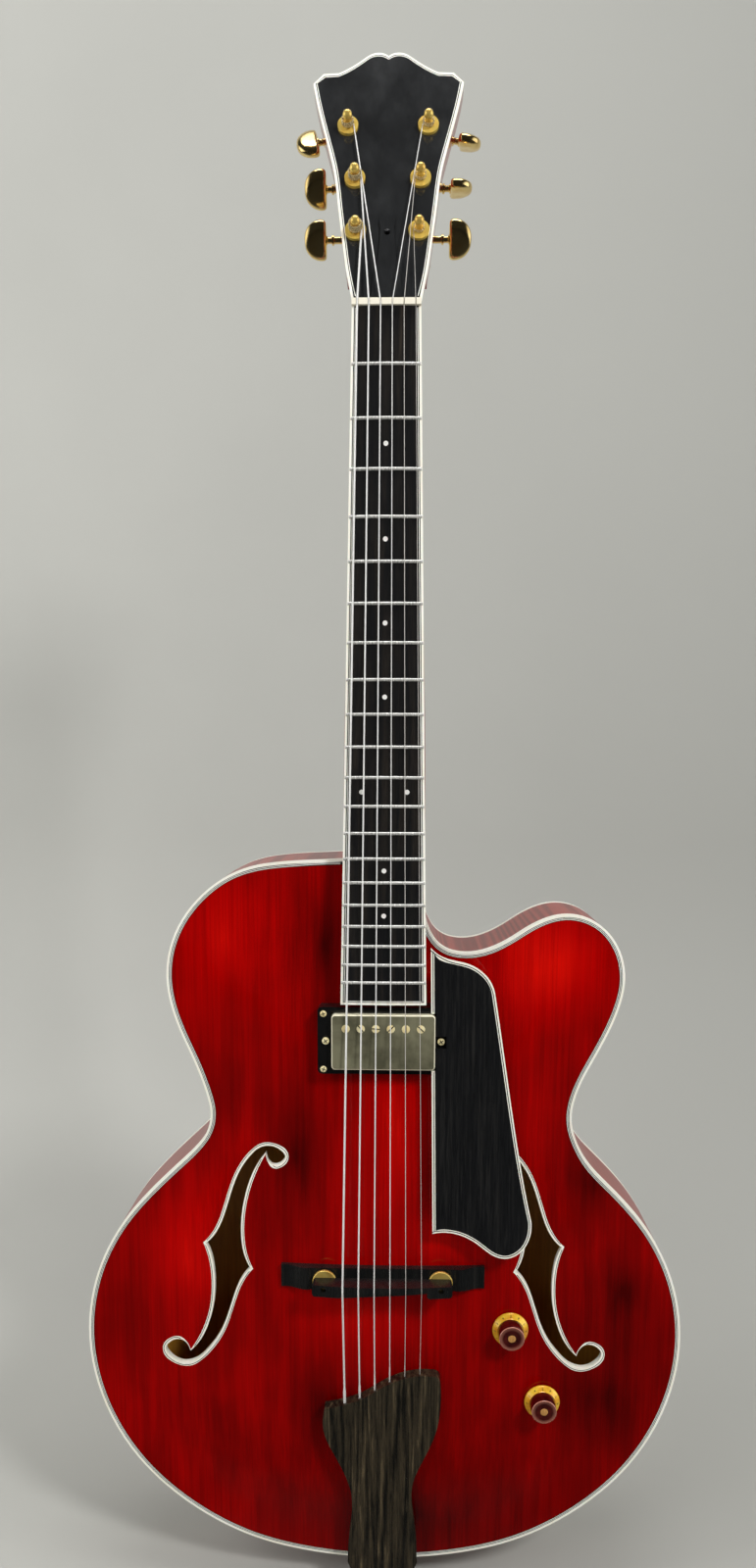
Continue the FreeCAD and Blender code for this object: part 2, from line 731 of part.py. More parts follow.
def board_width(along):
    """Return the fingerboard's width at a distance from the nut."""
    return NUT_WIDTH + (BOARD_END_WIDTH - NUT_WIDTH) * along / BOARD_LENGTH


def board_prism(inset, end_inset, low, high):
    """Return the fingerboard's tapered outline between two heights."""
    top = NUT_WIDTH / 2 - inset
    bottom = BOARD_END_WIDTH / 2 - inset
    end = end_inset - BOARD_LENGTH
    return slab(polygon([(-top, 0), (top, 0), (bottom, end), (-bottom, end)]), low, high)


def board_curve(proud):
    """Return the rounded body whose face is the playing face, raised by proud."""
    start = V(0, BOARD_RADIUS, -BOARD_LENGTH - 5)
    return Part.makeCylinder(BOARD_RADIUS + proud, BOARD_LENGTH + 20, start, V(0, 0, 1))


def fret_place(number):
    """Return a fret's distance from the nut."""
    return SCALE_LENGTH * (1 - 2 ** (-number / 12))


def dot_places():
    """Return x and z of the position dots: one per marked space and two at the octave."""
    places = []
    for number in (3, 5, 7, 9, 15, 17):
        places.append((0.0, -(fret_place(number - 1) + fret_place(number)) / 2))
    octave = -(fret_place(11) + fret_place(12)) / 2
    return places + [(-15.0, octave), (15.0, octave)]


def fingerboard():
    """Return the fingerboard with its binding, frets and dots."""
    parts = {}
    face = board_curve(0)
    dots = Part.makeCompound([stud(DOT_RADIUS, x, z, -DOT_DEPTH, 1) for x, z in dot_places()]).common(face)
    core = board_prism(BOARD_BINDING, BOARD_BINDING, -BOARD_THICK, 1).common(face)
    edge = board_prism(0, 0, -BOARD_THICK, 1).common(face)
    shell = board_prism(0.3, 0.3, -4, 3).common(board_curve(FRET_HEIGHT)).cut(face)
    half = FRET_WIDTH / 2
    far = BOARD_END_WIDTH
    strips = [block(-far, far, -5, 5, -fret_place(n) - half, half - fret_place(n))
              for n in range(1, FRET_COUNT + 1)]
    parts["fingerboard"] = core.cut(dots)
    parts["fingerboard_binding"] = edge.cut(board_prism(BOARD_BINDING, BOARD_BINDING, -BOARD_THICK - 1, 2))
    parts["frets"] = shell.common(Part.makeCompound(strips))
    parts["position_dots"] = dots
    return {name: on_neck(shape) for name, shape in parts.items()}


def neck_section(along, half, depth, squareness):
    """Return a flat-faced section with a rounded back: squareness 2 is an ellipse, more is boxier."""
    power = 2 / squareness
    back = []
    for step in range(BACK_POINTS + 1):
        turn = math.pi * step / BACK_POINTS
        x = math.copysign(abs(math.cos(turn)) ** power, math.cos(turn))
        back.append(V(half * x, BOARD_THICK + depth * math.sin(turn) ** power, -along))
    back[0] = V(half, BOARD_THICK, -along)
    back[-1] = V(-half, BOARD_THICK, -along)
    return closed([line(back[-1], back[0]), spline(back).toShape()])


def heel_section(height, half, reach):
    """Return the round-nosed section of the heel at a height of the body drawing."""
    face = JOINT_FACE
    left = V(-half, -height, face)
    right = V(half, -height, face)
    nose = V(0, -height, face + reach)
    shoulder = 0.5 ** 0.5
    left_round = V(-half * shoulder, -height, face + reach * shoulder)
    right_round = V(half * shoulder, -height, face + reach * shoulder)
    curve = spline([right, right_round, nose, left_round, left]).toShape()
    return closed([line(left, right), curve])


def head_wire(inset, start):
    """Return the headstock's outline, drawn in by the inset."""
    side = inset_run(flat(HEAD_SIDE), inset, 1)
    side = [V(side[0].x, 0, start)] + side[1:]
    ear = V(HEAD_EAR[0] - 0.4 * inset, 0, HEAD_EAR[1] - inset)
    crown_run = [V(x, 0, z - inset) for x, z in HEAD_CROWN + [HEAD_DIP]]
    left_side = [V(-p.x, 0, p.z) for p in side]
    left_ear = V(-ear.x, 0, ear.z)
    left_crown = [V(-p.x, 0, p.z) for p in crown_run]
    edges = [spline(side).toShape(), line(side[-1], ear), line(ear, crown_run[0])]
    edges += [spline(crown_run).toShape(), spline(left_crown[::-1]).toShape()]
    edges += [line(left_crown[0], left_ear), line(left_ear, left_side[-1])]
    edges += [spline(left_side[::-1]).toShape(), line(left_side[0], side[0])]
    return closed(edges)


def neck():
    """Return the neck with headstock, heel, tongue and tenon, and what is let into it."""
    parts = {}
    nut_half = NUT_WIDTH / 2
    joint_half = board_width(JOINT_FROM_NUT) / 2
    mid_depth = (NECK_DEPTH_NUT + NECK_DEPTH_HEEL) / 2
    shaft = on_neck(Part.makeLoft([
        neck_section(-NUT_LENGTH, nut_half, NECK_DEPTH_NUT, 2.0),
        neck_section(0.0, nut_half, NECK_DEPTH_NUT, 2.0),
        neck_section(JOINT_FROM_NUT / 2, (nut_half + joint_half) / 2, mid_depth, 2.0),
        neck_section(JOINT_FROM_NUT + 4, joint_half, NECK_DEPTH_HEEL, 2.0)], True))
    throat = Part.makeLoft([
        on_neck(neck_section(-NUT_LENGTH, nut_half, NECK_DEPTH_NUT, 2.0)),
        on_head(neck_section(-0.5 * THROAT_END, nut_half + 0.6, NECK_DEPTH_NUT + 1.0, 3.0)),
        on_head(neck_section(-THROAT_END, HEAD_SIDE[1][0], HEAD_WOOD, 6.0))], True)
    top = joint_half - 3
    heel_sizes = [(BOARD_OVER_RIM, top, 70.0), (0.0, top - 2, 34.0), (-20.0, top - 5, 23.0),
                  (-42.0, top - 8, 18.0), (HEEL_BOTTOM, top - 10, 16.0)]
    heel = on_body(Part.makeLoft([heel_section(*size) for size in heel_sizes], True))
    head_zone = block(-90, 90, HEAD_BACK - 9, 9, THROAT_END - 1.0, 2 * HEAD_DIP[1])
    head = slab(head_wire(0, HEAD_START), HEAD_BACK, -HEAD_DROP - OVERLAY_THICK).common(head_zone)
    half_tongue = TONGUE_WIDTH / 2
    tongue_low = -BOARD_THICK - TONGUE_THICK
    tongue = on_neck(block(-half_tongue, half_tongue, tongue_low, -BOARD_THICK,
                           -JOINT_FROM_NUT - TONGUE_LENGTH, 3 - JOINT_FROM_NUT))
    body_zone = on_body(block(-90, 90, -RIM_DEPTH - 40, 60, JOINT_FACE - 90, JOINT_FACE))
    board_zone = on_neck(block(-90, 90, -BOARD_THICK, 90, -BOARD_LENGTH - 60, NUT_LENGTH))
    outside = merged([shaft, throat, heel, on_head(head)]).cut(body_zone)
    wood = merged([outside, tongue, on_body(tenon())]).cut(board_zone)

    overlay_high = -HEAD_DROP
    overlay_low = -HEAD_DROP - OVERLAY_THICK
    plate = slab(head_wire(0, HEAD_START), overlay_low, overlay_high)
    core = slab(head_wire(HEAD_BINDING, HEAD_START), overlay_low - 1, overlay_high + 1)
    overlay = plate.common(core)
    binding = plate.cut(core)

    rod_h = -BOARD_THICK - TRUSS_ROD_DEPTH
    rod_end = ROD_FOOT - JOINT_FROM_NUT
    pocket_start = NUT_LENGTH + ROD_POCKET_INSET
    channel = on_neck(block(-ROD_CHANNEL_HALF, ROD_CHANNEL_HALF, rod_h - ROD_CHANNEL_HALF, 1 - BOARD_THICK,
                            rod_end - 2, pocket_start + 1))
    pocket = on_neck(block(-ROD_POCKET_HALF, ROD_POCKET_HALF, rod_h - ROD_POCKET_HALF, 0,
                           pocket_start, ROD_NUT_END + 2))
    bar = rod(TRUSS_ROD_RADIUS, V(0, -rod_h, rod_end), V(0, -rod_h, ROD_NUT_END))
    bar_nut = rod(ROD_NUT_RADIUS, V(0, -rod_h, ROD_NUT_END - ROD_NUT_LENGTH), V(0, -rod_h, ROD_NUT_END))
    parts["truss_rod"] = on_neck(merged([bar, bar_nut]))

    bush_holes = [on_head(stud(BUSH_RADIUS, x, z, HEAD_BACK - 1, 1)) for x, z in POST_PLACES]
    parts["headstock_overlay"] = on_head(overlay).cut(bush_holes + [pocket])
    parts["headstock_binding"] = on_head(binding)
    parts["neck"] = wood.cut(bush_holes + [channel, pocket, on_head(plate)])

    side = flat(COVER_SIDE)
    left = [V(-p.x, 0, p.z) for p in side]
    tip = V(COVER_TIP[0], 0, COVER_TIP[1])
    bell = closed([spline(side).toShape(), Part.Arc(side[-1], tip, left[-1]).toShape(),
                   spline(left[::-1]).toShape(), line(left[0], side[0])])
    parts["truss_rod_cover"] = on_head(slab(bell, overlay_high, overlay_high + COVER_THICK))
    return parts


def nut():
    """Return the nut with a slot under each string."""
    half = NUT_WIDTH / 2
    body = on_neck(block(-half, half, -BOARD_THICK, NUT_HEIGHT, 0, NUT_LENGTH))
    up = turned(0, 1, 0, NECK_ANGLE)
    slots = []
    for index in range(STRING_COUNT):
        slots += string_slots(string_run(index), 2, STRING_RADII[index] + NUT_STRING_GAP, up)
    return body.cut(slots)


def board_drop(x):
    """Return how far the rounded playing face has fallen at a distance from its middle."""
    return BOARD_RADIUS - math.sqrt(BOARD_RADIUS ** 2 - x ** 2)


# Tuners

def tuners():
    """Return the bushings, housings, posts and keys of the six tuners."""
    bushings = []
    housings = []
    parts = {}
    face = -HEAD_DROP
    shaft_h = HEAD_BACK - SHAFT_DEPTH
    for index, (x, z) in enumerate(POST_PLACES):
        bore = stud(POST_RADIUS + RUNNING_GAP, x, z, HEAD_BACK - HOUSING_HEIGHT, face + WASHER_THICK + 1)
        barrel = stud(BUSH_RADIUS, x, z, face - BUSH_LENGTH, face)
        washer = stud(WASHER_RADIUS, x, z, face, face + WASHER_THICK)
        bushings.append(on_head(merged([barrel, washer]).cut(bore)))

        gear_low = shaft_h - GEAR_THICK / 2
        post = stud(POST_RADIUS, x, z, gear_low - 1, face + WASHER_THICK + POST_TIP)
        gear = stud(GEAR_RADIUS, x, z, gear_low, gear_low + GEAR_THICK)
        parts["tuner_post_%d" % (index + 1)] = on_head(merged([post, gear]))

        side = math.copysign(1, x)
        worm_end = V(x - side * WORM_OVERLAP, -shaft_h, z + WORM_OFFSET)
        key_end = V(side * KEY_REACH[index], -shaft_h, z + WORM_OFFSET)
        shaft = rod(WORM_RADIUS, worm_end, key_end)
        grip = button(side, key_end.x, shaft_h, key_end.z)
        grip.rotate(key_end, V(1, 0, 0), KEY_TURN[index])
        parts["tuner_key_%d" % (index + 1)] = on_head(leaned(index, merged([shaft, grip])))
        room_end = worm_end - V(side * RUNNING_GAP, 0, 0)
        worm_room = rod(WORM_RADIUS + RUNNING_GAP, room_end, key_end)
        housings.append(on_head(leaned(index, tuner_case(x, z).cut(worm_room))))
    parts["tuner_bushings"] = Part.makeCompound(bushings)
    parts["tuner_housings"] = Part.makeCompound(housings)
    return parts


def tuner_case(x, z):
    """Return the case behind the headstock, hollow round the gear of the post."""
    half = HOUSING_WIDTH / 2
    middle = z + HOUSING_RISE
    case = block(x - half, x + half, HEAD_BACK - HOUSING_HEIGHT, HEAD_BACK,
                 middle - HOUSING_LENGTH / 2, middle + HOUSING_LENGTH / 2)
    case = case.makeFillet(HOUSING_ROUND, [e for e in case.Edges if abs(e.tangentAt(0).y) > 0.9])
    return case.cut(stud(GEAR_RADIUS + 0.5, x, z, HEAD_BACK - GEAR_ROOM, HEAD_BACK + 1))


def leaned(index, shape):
    """Return a tuner's case or key turned about its post: the outermost pair points down."""
    x, z = POST_PLACES[index]
    moved = shape.copy()
    moved.rotate(V(x, 0, z), V(0, 1, 0), math.copysign(KEY_LEAN[index], x))
    return moved


def button(side, x, h, z):
    """Return a half-moon key button: straight towards the shaft and round outside."""
    inner = x - side * BUTTON_WIDTH / 2
    outer = x + side * BUTTON_WIDTH / 2
    half = BUTTON_LENGTH / 2
    waist = x - side * BUTTON_WIDTH / 4
    root_low = V(inner, 0, z - BUTTON_ROOT / 2)
    root_high = V(inner, 0, z + BUTTON_ROOT / 2)
    low = V(waist, 0, z - half)
    high = V(waist, 0, z + half)
    rounded = Part.Arc(low, V(outer, 0, z), high).toShape()
    face = closed([line(root_high, root_low), line(root_low, low), rounded, line(high, root_high)])
    body = slab(face, h - BUTTON_THICK / 2, h + BUTTON_THICK / 2)
    rim = [e for e in body.Edges if abs(e.tangentAt(e.FirstParameter).y) < 0.1]
    return body.makeChamfer(BUTTON_CHAMFER, rim)


# Strings

def string_x(spread, index):
    """Return a string's place across a spread, low string first."""
    return spread * (index / (STRING_COUNT - 1) - 0.5)


def bend_edges(points, radius):
    """Return straight edges through the points, joined by tangent arcs."""
    edges = []
    start = points[0]
    for before, corner, after in zip(points, points[1:], points[2:]):
        back = (before - corner).normalize()
        ahead = (after - corner).normalize()
        half = (math.pi - back.getAngle(ahead)) / 2
        cut = radius * math.tan(half)
        middle = (back + ahead).normalize()
        touch = corner + back * cut
        leave = corner + ahead * cut
        crest = corner + middle * (radius / math.cos(half) - radius)
        edges.append(line(start, touch))
        edges.append(Part.Arc(touch, crest, leave).toShape())
        start = leave
    edges.append(line(start, points[-1]))
    return edges


def post_turns(index, radius):
    """Return points and directions of the turns round one post, in the headstock drawing."""
    x, z = POST_PLACES[index]
    inner = -math.copysign(1, x)
    ring = POST_RADIUS + POST_GAP + radius
    pitch = 2 * radius + TURN_GAP
    low = -HEAD_DROP + WASHER_THICK + radius + 0.4
    places = []
    for step in range(4 * TURNS + 1):
        turn = step * math.pi / 2
        out = V(inner * math.cos(turn), 0, math.sin(turn))
        ahead = V(-inner * math.sin(turn), 0, math.cos(turn)) * ring
        point = V(x, -low - pitch * step / 4, z) + out * ring
        ahead = V(ahead.x, -pitch / (2 * math.pi), ahead.z)
        places.append((point, ahead.normalize()))
    return places


def head_turned(vector):
    """Return a vector of the headstock drawing in the shared frame."""
    return turned(vector.x, -vector.y, vector.z, NECK_ANGLE + HEAD_ANGLE)


def least_gap(places, radius):
    """Return the smallest clear space between neighbouring turns, measured on points."""
    gaps = []
    for first in range(len(places)):
        for second in range(first + 3, len(places)):
            gaps.append((places[first][0] - places[second][0]).Length - 2 * radius)
    return min(gaps)


def string_run(index):
    """Return a string's ends and bends: tailpiece, saddle, nut and the way in to its post."""
    radius = STRING_RADII[index]
    tail = string_anchor(index)[0]
    saddle_x = string_x(SADDLE_SPREAD, index)
    saddle = body_point(saddle_x, SADDLE_TOP - board_drop(saddle_x) + radius, BRIDGE_Z)
    nut_x = string_x(NUT_SPREAD, index)
    nut_point = turned(nut_x, STRING_OVER_NUT - board_drop(nut_x) + radius, 0.5 * NUT_LENGTH, NECK_ANGLE)
    entry = head_turned(post_turns(index, radius)[0][0])
    lead = (entry - nut_point).normalize()
    return [tail, saddle, nut_point, entry - lead * STRING_LEAD]


def string_slots(run, bend, half, up):
    """Return the two straight slots, open upwards, that clear a string on both sides of a bend."""
    slots = []
    for end in (run[bend - 1], run[bend + 1]):
        ahead = (end - run[bend]).normalize()
        side = ahead.cross(up).normalize() * half
        floor = up * -half
        near = run[bend] - ahead * SLOT_OVERLAP + floor
        far = run[bend] + ahead * SLOT_REACH + floor
        corners = [near - side, near + side, far + side, far - side]
        slots.append(Part.Face(Part.makePolygon(corners + corners[:1])).extrude(up * SLOT_REACH))
    return slots


def string(index):
    """Return one string from the tailpiece over saddle and nut to its turns on the post."""
    radius = STRING_RADII[index]
    run = string_run(index)
    places = post_turns(index, radius)
    print("string", index + 1, "least gap between turns %.2f mm" % least_gap(places, radius))
    places = [(head_turned(point), head_turned(ahead)) for point, ahead in places]
    lead = (places[0][0] - run[-1]).normalize()
    edges = bend_edges(run, STRING_BEND)
    turns = biarc(run[-1], lead, *places[0])
    for (start, ahead), (end, leave) in zip(places, places[1:]):
        turns += biarc(start, ahead, end, leave)
    edges += [arc_edge(arc) for arc in turns]
    path = closed(edges)
    circle = Part.Circle(run[0], run[1] - run[0], radius).toShape()
    tube = path.makePipeShell([Part.Wire(circle)], True, False)
    expected = math.pi * radius ** 2 * path.Length
    print("string", index + 1, "length %.0f mm, volume share %.3f" % (path.Length, tube.Volume / expected))
    return tube


def tail_edge(x):
    """Return z of the tailpiece's swept upper edge at a distance from the middle."""
    run = TAIL_UPPER
    for (x0, z0), (x1, z1) in zip(run, run[1:]):
        if x0 <= x <= x1:
            return z0 + (z1 - z0) * (x - x0) / (x1 - x0)
    return run[-1][1]


def tail_height(z):
    """Return the height of the tailpiece's front at z."""
    return TAILPIECE_TOP - (TAILPIECE_Z - z) * math.tan(math.radians(TAILPIECE_SLOPE))


def string_anchor(index):
    """Return where a string ends inside the tailpiece and where it comes out of its edge."""
    x = string_x(TAIL_SPREAD, index)
    edge = tail_edge(x)
    leave = body_point(x, tail_height(edge) - 3.0, edge)
    saddle_x = string_x(SADDLE_SPREAD, index)
    saddle = body_point(saddle_x, SADDLE_TOP - board_drop(saddle_x), BRIDGE_Z)
    back = (leave - saddle).normalize()
    return leave + back * STRING_HIDDEN, leave


# Bridge, tailpiece and end pin

def bridge(under):
    """Return the bridge base, posts, thumbwheels and saddle."""
    parts = {}
    half = BRIDGE_BASE_LENGTH / 2
    near = BRIDGE_Z + BRIDGE_BASE_WIDTH / 2
    tip = outer_height(half, BRIDGE_Z) + BRIDGE_BASE_TIP
    pad = BRIDGE_POST_X + WHEEL_RADIUS + 1.5
    rise = (half + pad) / 2
    mid = (tip + BRIDGE_BASE_TOP) / 2
    face_y = near
    right = spline([V(half, -tip, face_y), V(rise + 4, -mid + 2, face_y), V(rise - 4, -mid - 2, face_y),
                    V(pad, -BRIDGE_BASE_TOP, face_y)])
    left = spline([V(-pad, -BRIDGE_BASE_TOP, face_y), V(4 - rise, -mid - 2, face_y),
                   V(-rise - 4, -mid + 2, face_y), V(-half, -tip, face_y)])
    top_line = line(V(pad, -BRIDGE_BASE_TOP, face_y), V(-pad, -BRIDGE_BASE_TOP, face_y))
    down_left = line(V(-half, -tip, face_y), V(-half, 0, face_y))
    foot_line = line(V(-half, 0, face_y), V(half, 0, face_y))
    up_right = line(V(half, 0, face_y), V(half, -tip, face_y))
    profile = closed([right.toShape(), top_line, left.toShape(), down_left, foot_line, up_right])
    base = Part.Face(profile).extrude(V(0, 0, -BRIDGE_BASE_WIDTH)).cut(under)
    places = [(side * BRIDGE_POST_X, BRIDGE_Z) for side in (-1, 1)]
    post_low = BRIDGE_BASE_TOP - BRIDGE_POST_SINK
    posts = [stud(BRIDGE_POST_RADIUS, x, z, post_low, SADDLE_TOP - 6) for x, z in places]
    parts["bridge_base"] = base.cut(posts)
    parts["bridge_posts"] = Part.makeCompound(posts)
    bores = [stud(BRIDGE_POST_RADIUS + RUNNING_GAP, x, z, 0, SADDLE_TOP + 9) for x, z in places]
    for name, (x, z), bore in zip(("bass_thumbwheel", "treble_thumbwheel"), places, bores):
        parts[name] = stud(WHEEL_RADIUS, x, z, WHEEL_LOW, SADDLE_LOW).cut(bore)

    parts["bridge_saddle"] = saddle().cut(bores)
    parts = {name: on_body(shape) for name, shape in parts.items()}
    slots = []
    for index in range(STRING_COUNT):
        slots += string_slots(string_run(index), 1, STRING_RADII[index] + SADDLE_STRING_GAP, V(0, -1, 0))
    parts["bridge_saddle"] = parts["bridge_saddle"].cut(slots)
    return parts


def saddle():
    """Return the saddle: two round-cornered lobes for the posts, and a thinner crest between them.

    The crest's tail side slants towards the neck on the treble side, for the thinner strings.
    """
    reach = SADDLE_LENGTH / 2
    inner = reach - SADDLE_LOBE
    near = BRIDGE_Z + SADDLE_FRONT
    tail = near - SADDLE_DEPTH
    lobes = []
    for x0, x1 in ((-reach, -inner), (inner, reach)):
        lobe = block(x0, x1, SADDLE_LOW, SADDLE_TOP, tail, near)
        upright = [edge for edge in lobe.Edges if edge.BoundBox.YLength > 1]
        lobes.append(lobe.makeFillet(SADDLE_LOBE_ROUND, upright))
    overlap = inner + SADDLE_LOBE_ROUND
    plan = [(-overlap, near), (overlap, near), (overlap, tail + SADDLE_SLANT), (-inner, tail), (-overlap, tail)]
    middle = slab(polygon(plan), SADDLE_LOW, SADDLE_TOP)
    drop = (BRIDGE_Z - tail) * math.tan(math.radians(STRING_BREAK))
    slope = [V(-reach, -SADDLE_TOP, BRIDGE_Z), V(-reach, drop - SADDLE_TOP, tail), V(-reach, -SADDLE_TOP, tail)]
    fall = Part.Face(Part.makePolygon(slope + slope[:1])).extrude(V(SADDLE_LENGTH, 0, 0))
    crown_start = V(0, BOARD_RADIUS - SADDLE_TOP, tail - 1)
    rounded = Part.makeCylinder(BOARD_RADIUS, SADDLE_DEPTH + 2, crown_start, V(0, 0, 1))
    return merged([middle] + lobes).common(rounded).cut(fall)


def tail_group():
    """Return the tailpiece with its gut, edge saddle and end pin."""
    parts = {}
    edges = [spline(flat(TAIL_UPPER)).toShape()]
    shoulder = flat([TAIL_UPPER[-1], TAIL_SHOULDER, TAIL_TREBLE[0]])
    edges.append(Part.Arc(*shoulder).toShape())
    edges.append(spline(flat(TAIL_TREBLE)).toShape())
    foot = flat([TAIL_TREBLE[-1]] + TAIL_FOOT + [TAIL_BASS[0]])
    edges += [line(a, b) for a, b in zip(foot, foot[1:])]
    edges.append(spline(flat(TAIL_BASS)).toShape())
    edges.append(line(*flat([TAIL_BASS[-1], TAIL_UPPER[0]])))
    plate = slab(closed(edges), TAILPIECE_TOP - TAILPIECE_THICK, TAILPIECE_TOP)
    plate.rotate(V(0, -TAILPIECE_TOP, TAILPIECE_Z), V(1, 0, 0), TAILPIECE_SLOPE)
    plate = on_body(plate)
    holes = []
    for index in range(STRING_COUNT):
        end, leave = string_anchor(index)
        beyond = leave + (leave - end) * 2
        holes.append(rod(STRING_RADII[index] + 0.3, end + (end - leave) * 0.02, beyond))
    parts["tailpiece"] = plate.cut(holes)

    end_z = -BODY_LENGTH
    saddle_top = tail_height(end_z) - TAILPIECE_THICK - 2 * GUT_RADIUS - 5 * GUT_GAP
    half = TAIL_SADDLE_WIDTH / 2
    parts["tail_saddle"] = on_body(
        block(-half, half, 0, saddle_top, end_z + 1.0, end_z + TAIL_SADDLE_LENGTH))

    loop_z = end_z - GUT_RADIUS - GUT_GAP
    loop_h = -PIN_DEPTH - PIN_BODY_RADIUS - GUT_RADIUS - GUT_GAP
    gut_h = saddle_top + GUT_RADIUS + GUT_GAP
    gut_start = end_z + TAIL_SADDLE_LENGTH + 3.0
    half_loop = [(gut_h, gut_start), (gut_h, loop_z), (loop_h, loop_z)]
    route = [body_point(-GUT_SPREAD, h, z) for h, z in half_loop]
    route += [body_point(GUT_SPREAD, h, z) for h, z in half_loop[::-1]]
    path = closed(bend_edges(route, GUT_BEND))
    circle = Part.Circle(route[0], route[1] - route[0], GUT_RADIUS).toShape()
    parts["tail_gut"] = path.makePipeShell([Part.Wire(circle)], True, False)

    inner_end = end_z + TAIL_BLOCK_LENGTH + 8
    outer_end = end_z - 18
    barrel = rod(PIN_BODY_RADIUS, V(0, PIN_DEPTH, outer_end), V(0, PIN_DEPTH, inner_end))
    collar = rod(PIN_HEAD_RADIUS, V(0, PIN_DEPTH, outer_end), V(0, PIN_DEPTH, outer_end + 7))
    lock = rod(PIN_HEAD_RADIUS, V(0, PIN_DEPTH, inner_end - 7.5), V(0, PIN_DEPTH, inner_end - 4.5))
    bore_end = outer_end + JACK_BORE_LENGTH
    bore = rod(JACK_BORE_RADIUS, V(0, PIN_DEPTH, outer_end - 1), V(0, PIN_DEPTH, bore_end))
    parts["end_pin_jack"] = on_body(merged([barrel, collar, lock]).cut(bore))
    return parts


# Pickup

def pickup(under):
    """Return the pickup, its ring and what sets its height."""
    parts = {}
    half = RING_LENGTH / 2
    wide = RING_WIDTH / 2
    frame = block(-half, half, -2, RING_TOP, PICKUP_Z - wide, PICKUP_Z + wide)
    frame = frame.makeFillet(3.0, [e for e in frame.Edges if abs(e.tangentAt(0).y) > 0.9])
    length = COVER_LENGTH / 2 + RING_GAP
    width = COVER_WIDTH / 2 + RING_GAP
    window = block(-length, length, -9, RING_TOP + 9, PICKUP_Z - width, PICKUP_Z + width)
    screw_places = [(side * HEIGHT_SCREW_X, PICKUP_Z) for side in (-1, 1)]
    holes = [stud(HEIGHT_SCREW_RADIUS + RUNNING_GAP, x, z, -9, RING_TOP + 9) for x, z in screw_places]
    parts["pickup_ring"] = frame.cut([window, under] + holes)

    low = COVER_TOP - COVER_DEEP
    reach = COVER_LENGTH / 2
    deep = COVER_WIDTH / 2
    shell = block(-reach, reach, low, COVER_TOP, PICKUP_Z - deep, PICKUP_Z + deep)
    shell = shell.makeFillet(2.5, [e for e in shell.Edges if abs(e.tangentAt(0).y) > 0.9])
    shell = shell.makeFillet(1.0, shell.Faces[largest_front(shell)].Edges)
    inner = COVER_WALL
    hollow = block(inner - reach, reach - inner, low - 1, COVER_TOP - inner,
                   PICKUP_Z - deep + inner, PICKUP_Z + deep - inner)
    pole_z = PICKUP_Z + POLE_OFFSET
    poles = [(string_x(POLE_SPREAD, n), pole_z) for n in range(STRING_COUNT)]
    pole_rods = [stud(POLE_RADIUS, x, z, low - 5, COVER_TOP + POLE_PROUD) for x, z in poles]
    parts["pickup_cover"] = shell.cut([hollow] + pole_rods)
    parts["pole_screws"] = Part.makeCompound(pole_rods)

    coil_high = COVER_TOP - inner - 0.5
    coil_half = reach - inner - 1.0
    coil_width = COVER_WIDTH / 2 - inner - 1.0
    near_coil = block(-coil_half, coil_half, low + 3.5, coil_high, PICKUP_Z + 1, PICKUP_Z + coil_width)
    far_coil = block(-coil_half, coil_half, low + 3.5, coil_high, PICKUP_Z - coil_width, PICKUP_Z - 1)
    magnet = block(2 - coil_half, coil_half - 2, low + 0.2, low + 3.4, PICKUP_Z - 6, PICKUP_Z + 6)
    parts["pickup_coils"] = Part.makeCompound([near_coil.cut(pole_rods), far_coil, magnet])

    leg = LEG_WIDTH / 2
    leg_high = low - LEG_DROP
    leg_out = HEIGHT_SCREW_X + leg - 0.5
    plate = block(-reach, reach, low - BASEPLATE_THICK, low, PICKUP_Z - deep, PICKUP_Z + deep)
    pieces = [plate]
    for side in (-1, 1):
        x0, x1 = sorted((side * (reach - BASEPLATE_THICK), side * reach))
        leg_low = leg_high - BASEPLATE_THICK
        pieces.append(block(x0, x1, leg_low, low - BASEPLATE_THICK, PICKUP_Z - leg, PICKUP_Z + leg))
        x0, x1 = sorted((side * (reach - BASEPLATE_THICK), side * leg_out))
        pieces.append(block(x0, x1, leg_low, leg_high, PICKUP_Z - leg, PICKUP_Z + leg))
    parts["pickup_baseplate"] = merged(pieces).cut(pole_rods + holes)

    names = ("bass_height_screw", "treble_height_screw")
    springs = []
    for name, (x, z) in zip(names, screw_places):
        thread = stud(HEIGHT_SCREW_RADIUS, x, z, leg_high - 8, RING_TOP + 0.1)
        head = stud(2.4, x, z, RING_TOP + 0.1, RING_TOP + 1.5)
        parts[name] = merged([thread, head])
        seat = outer_height(x, z) - 0.4
        coil = stud(2.6, x, z, leg_high + 0.1, seat).cut(stud(1.9, x, z, -30, 30))
        springs.append(coil)
    parts["pickup_springs"] = Part.makeCompound(springs)
    return {name: on_body(shape) for name, shape in parts.items()}


def largest_front(shape):
    """Return the index of the face that lies furthest to the front."""
    fronts = [face.CenterOfMass.y for face in shape.Faces]
    return fronts.index(min(fronts))


# Pickguard and controls

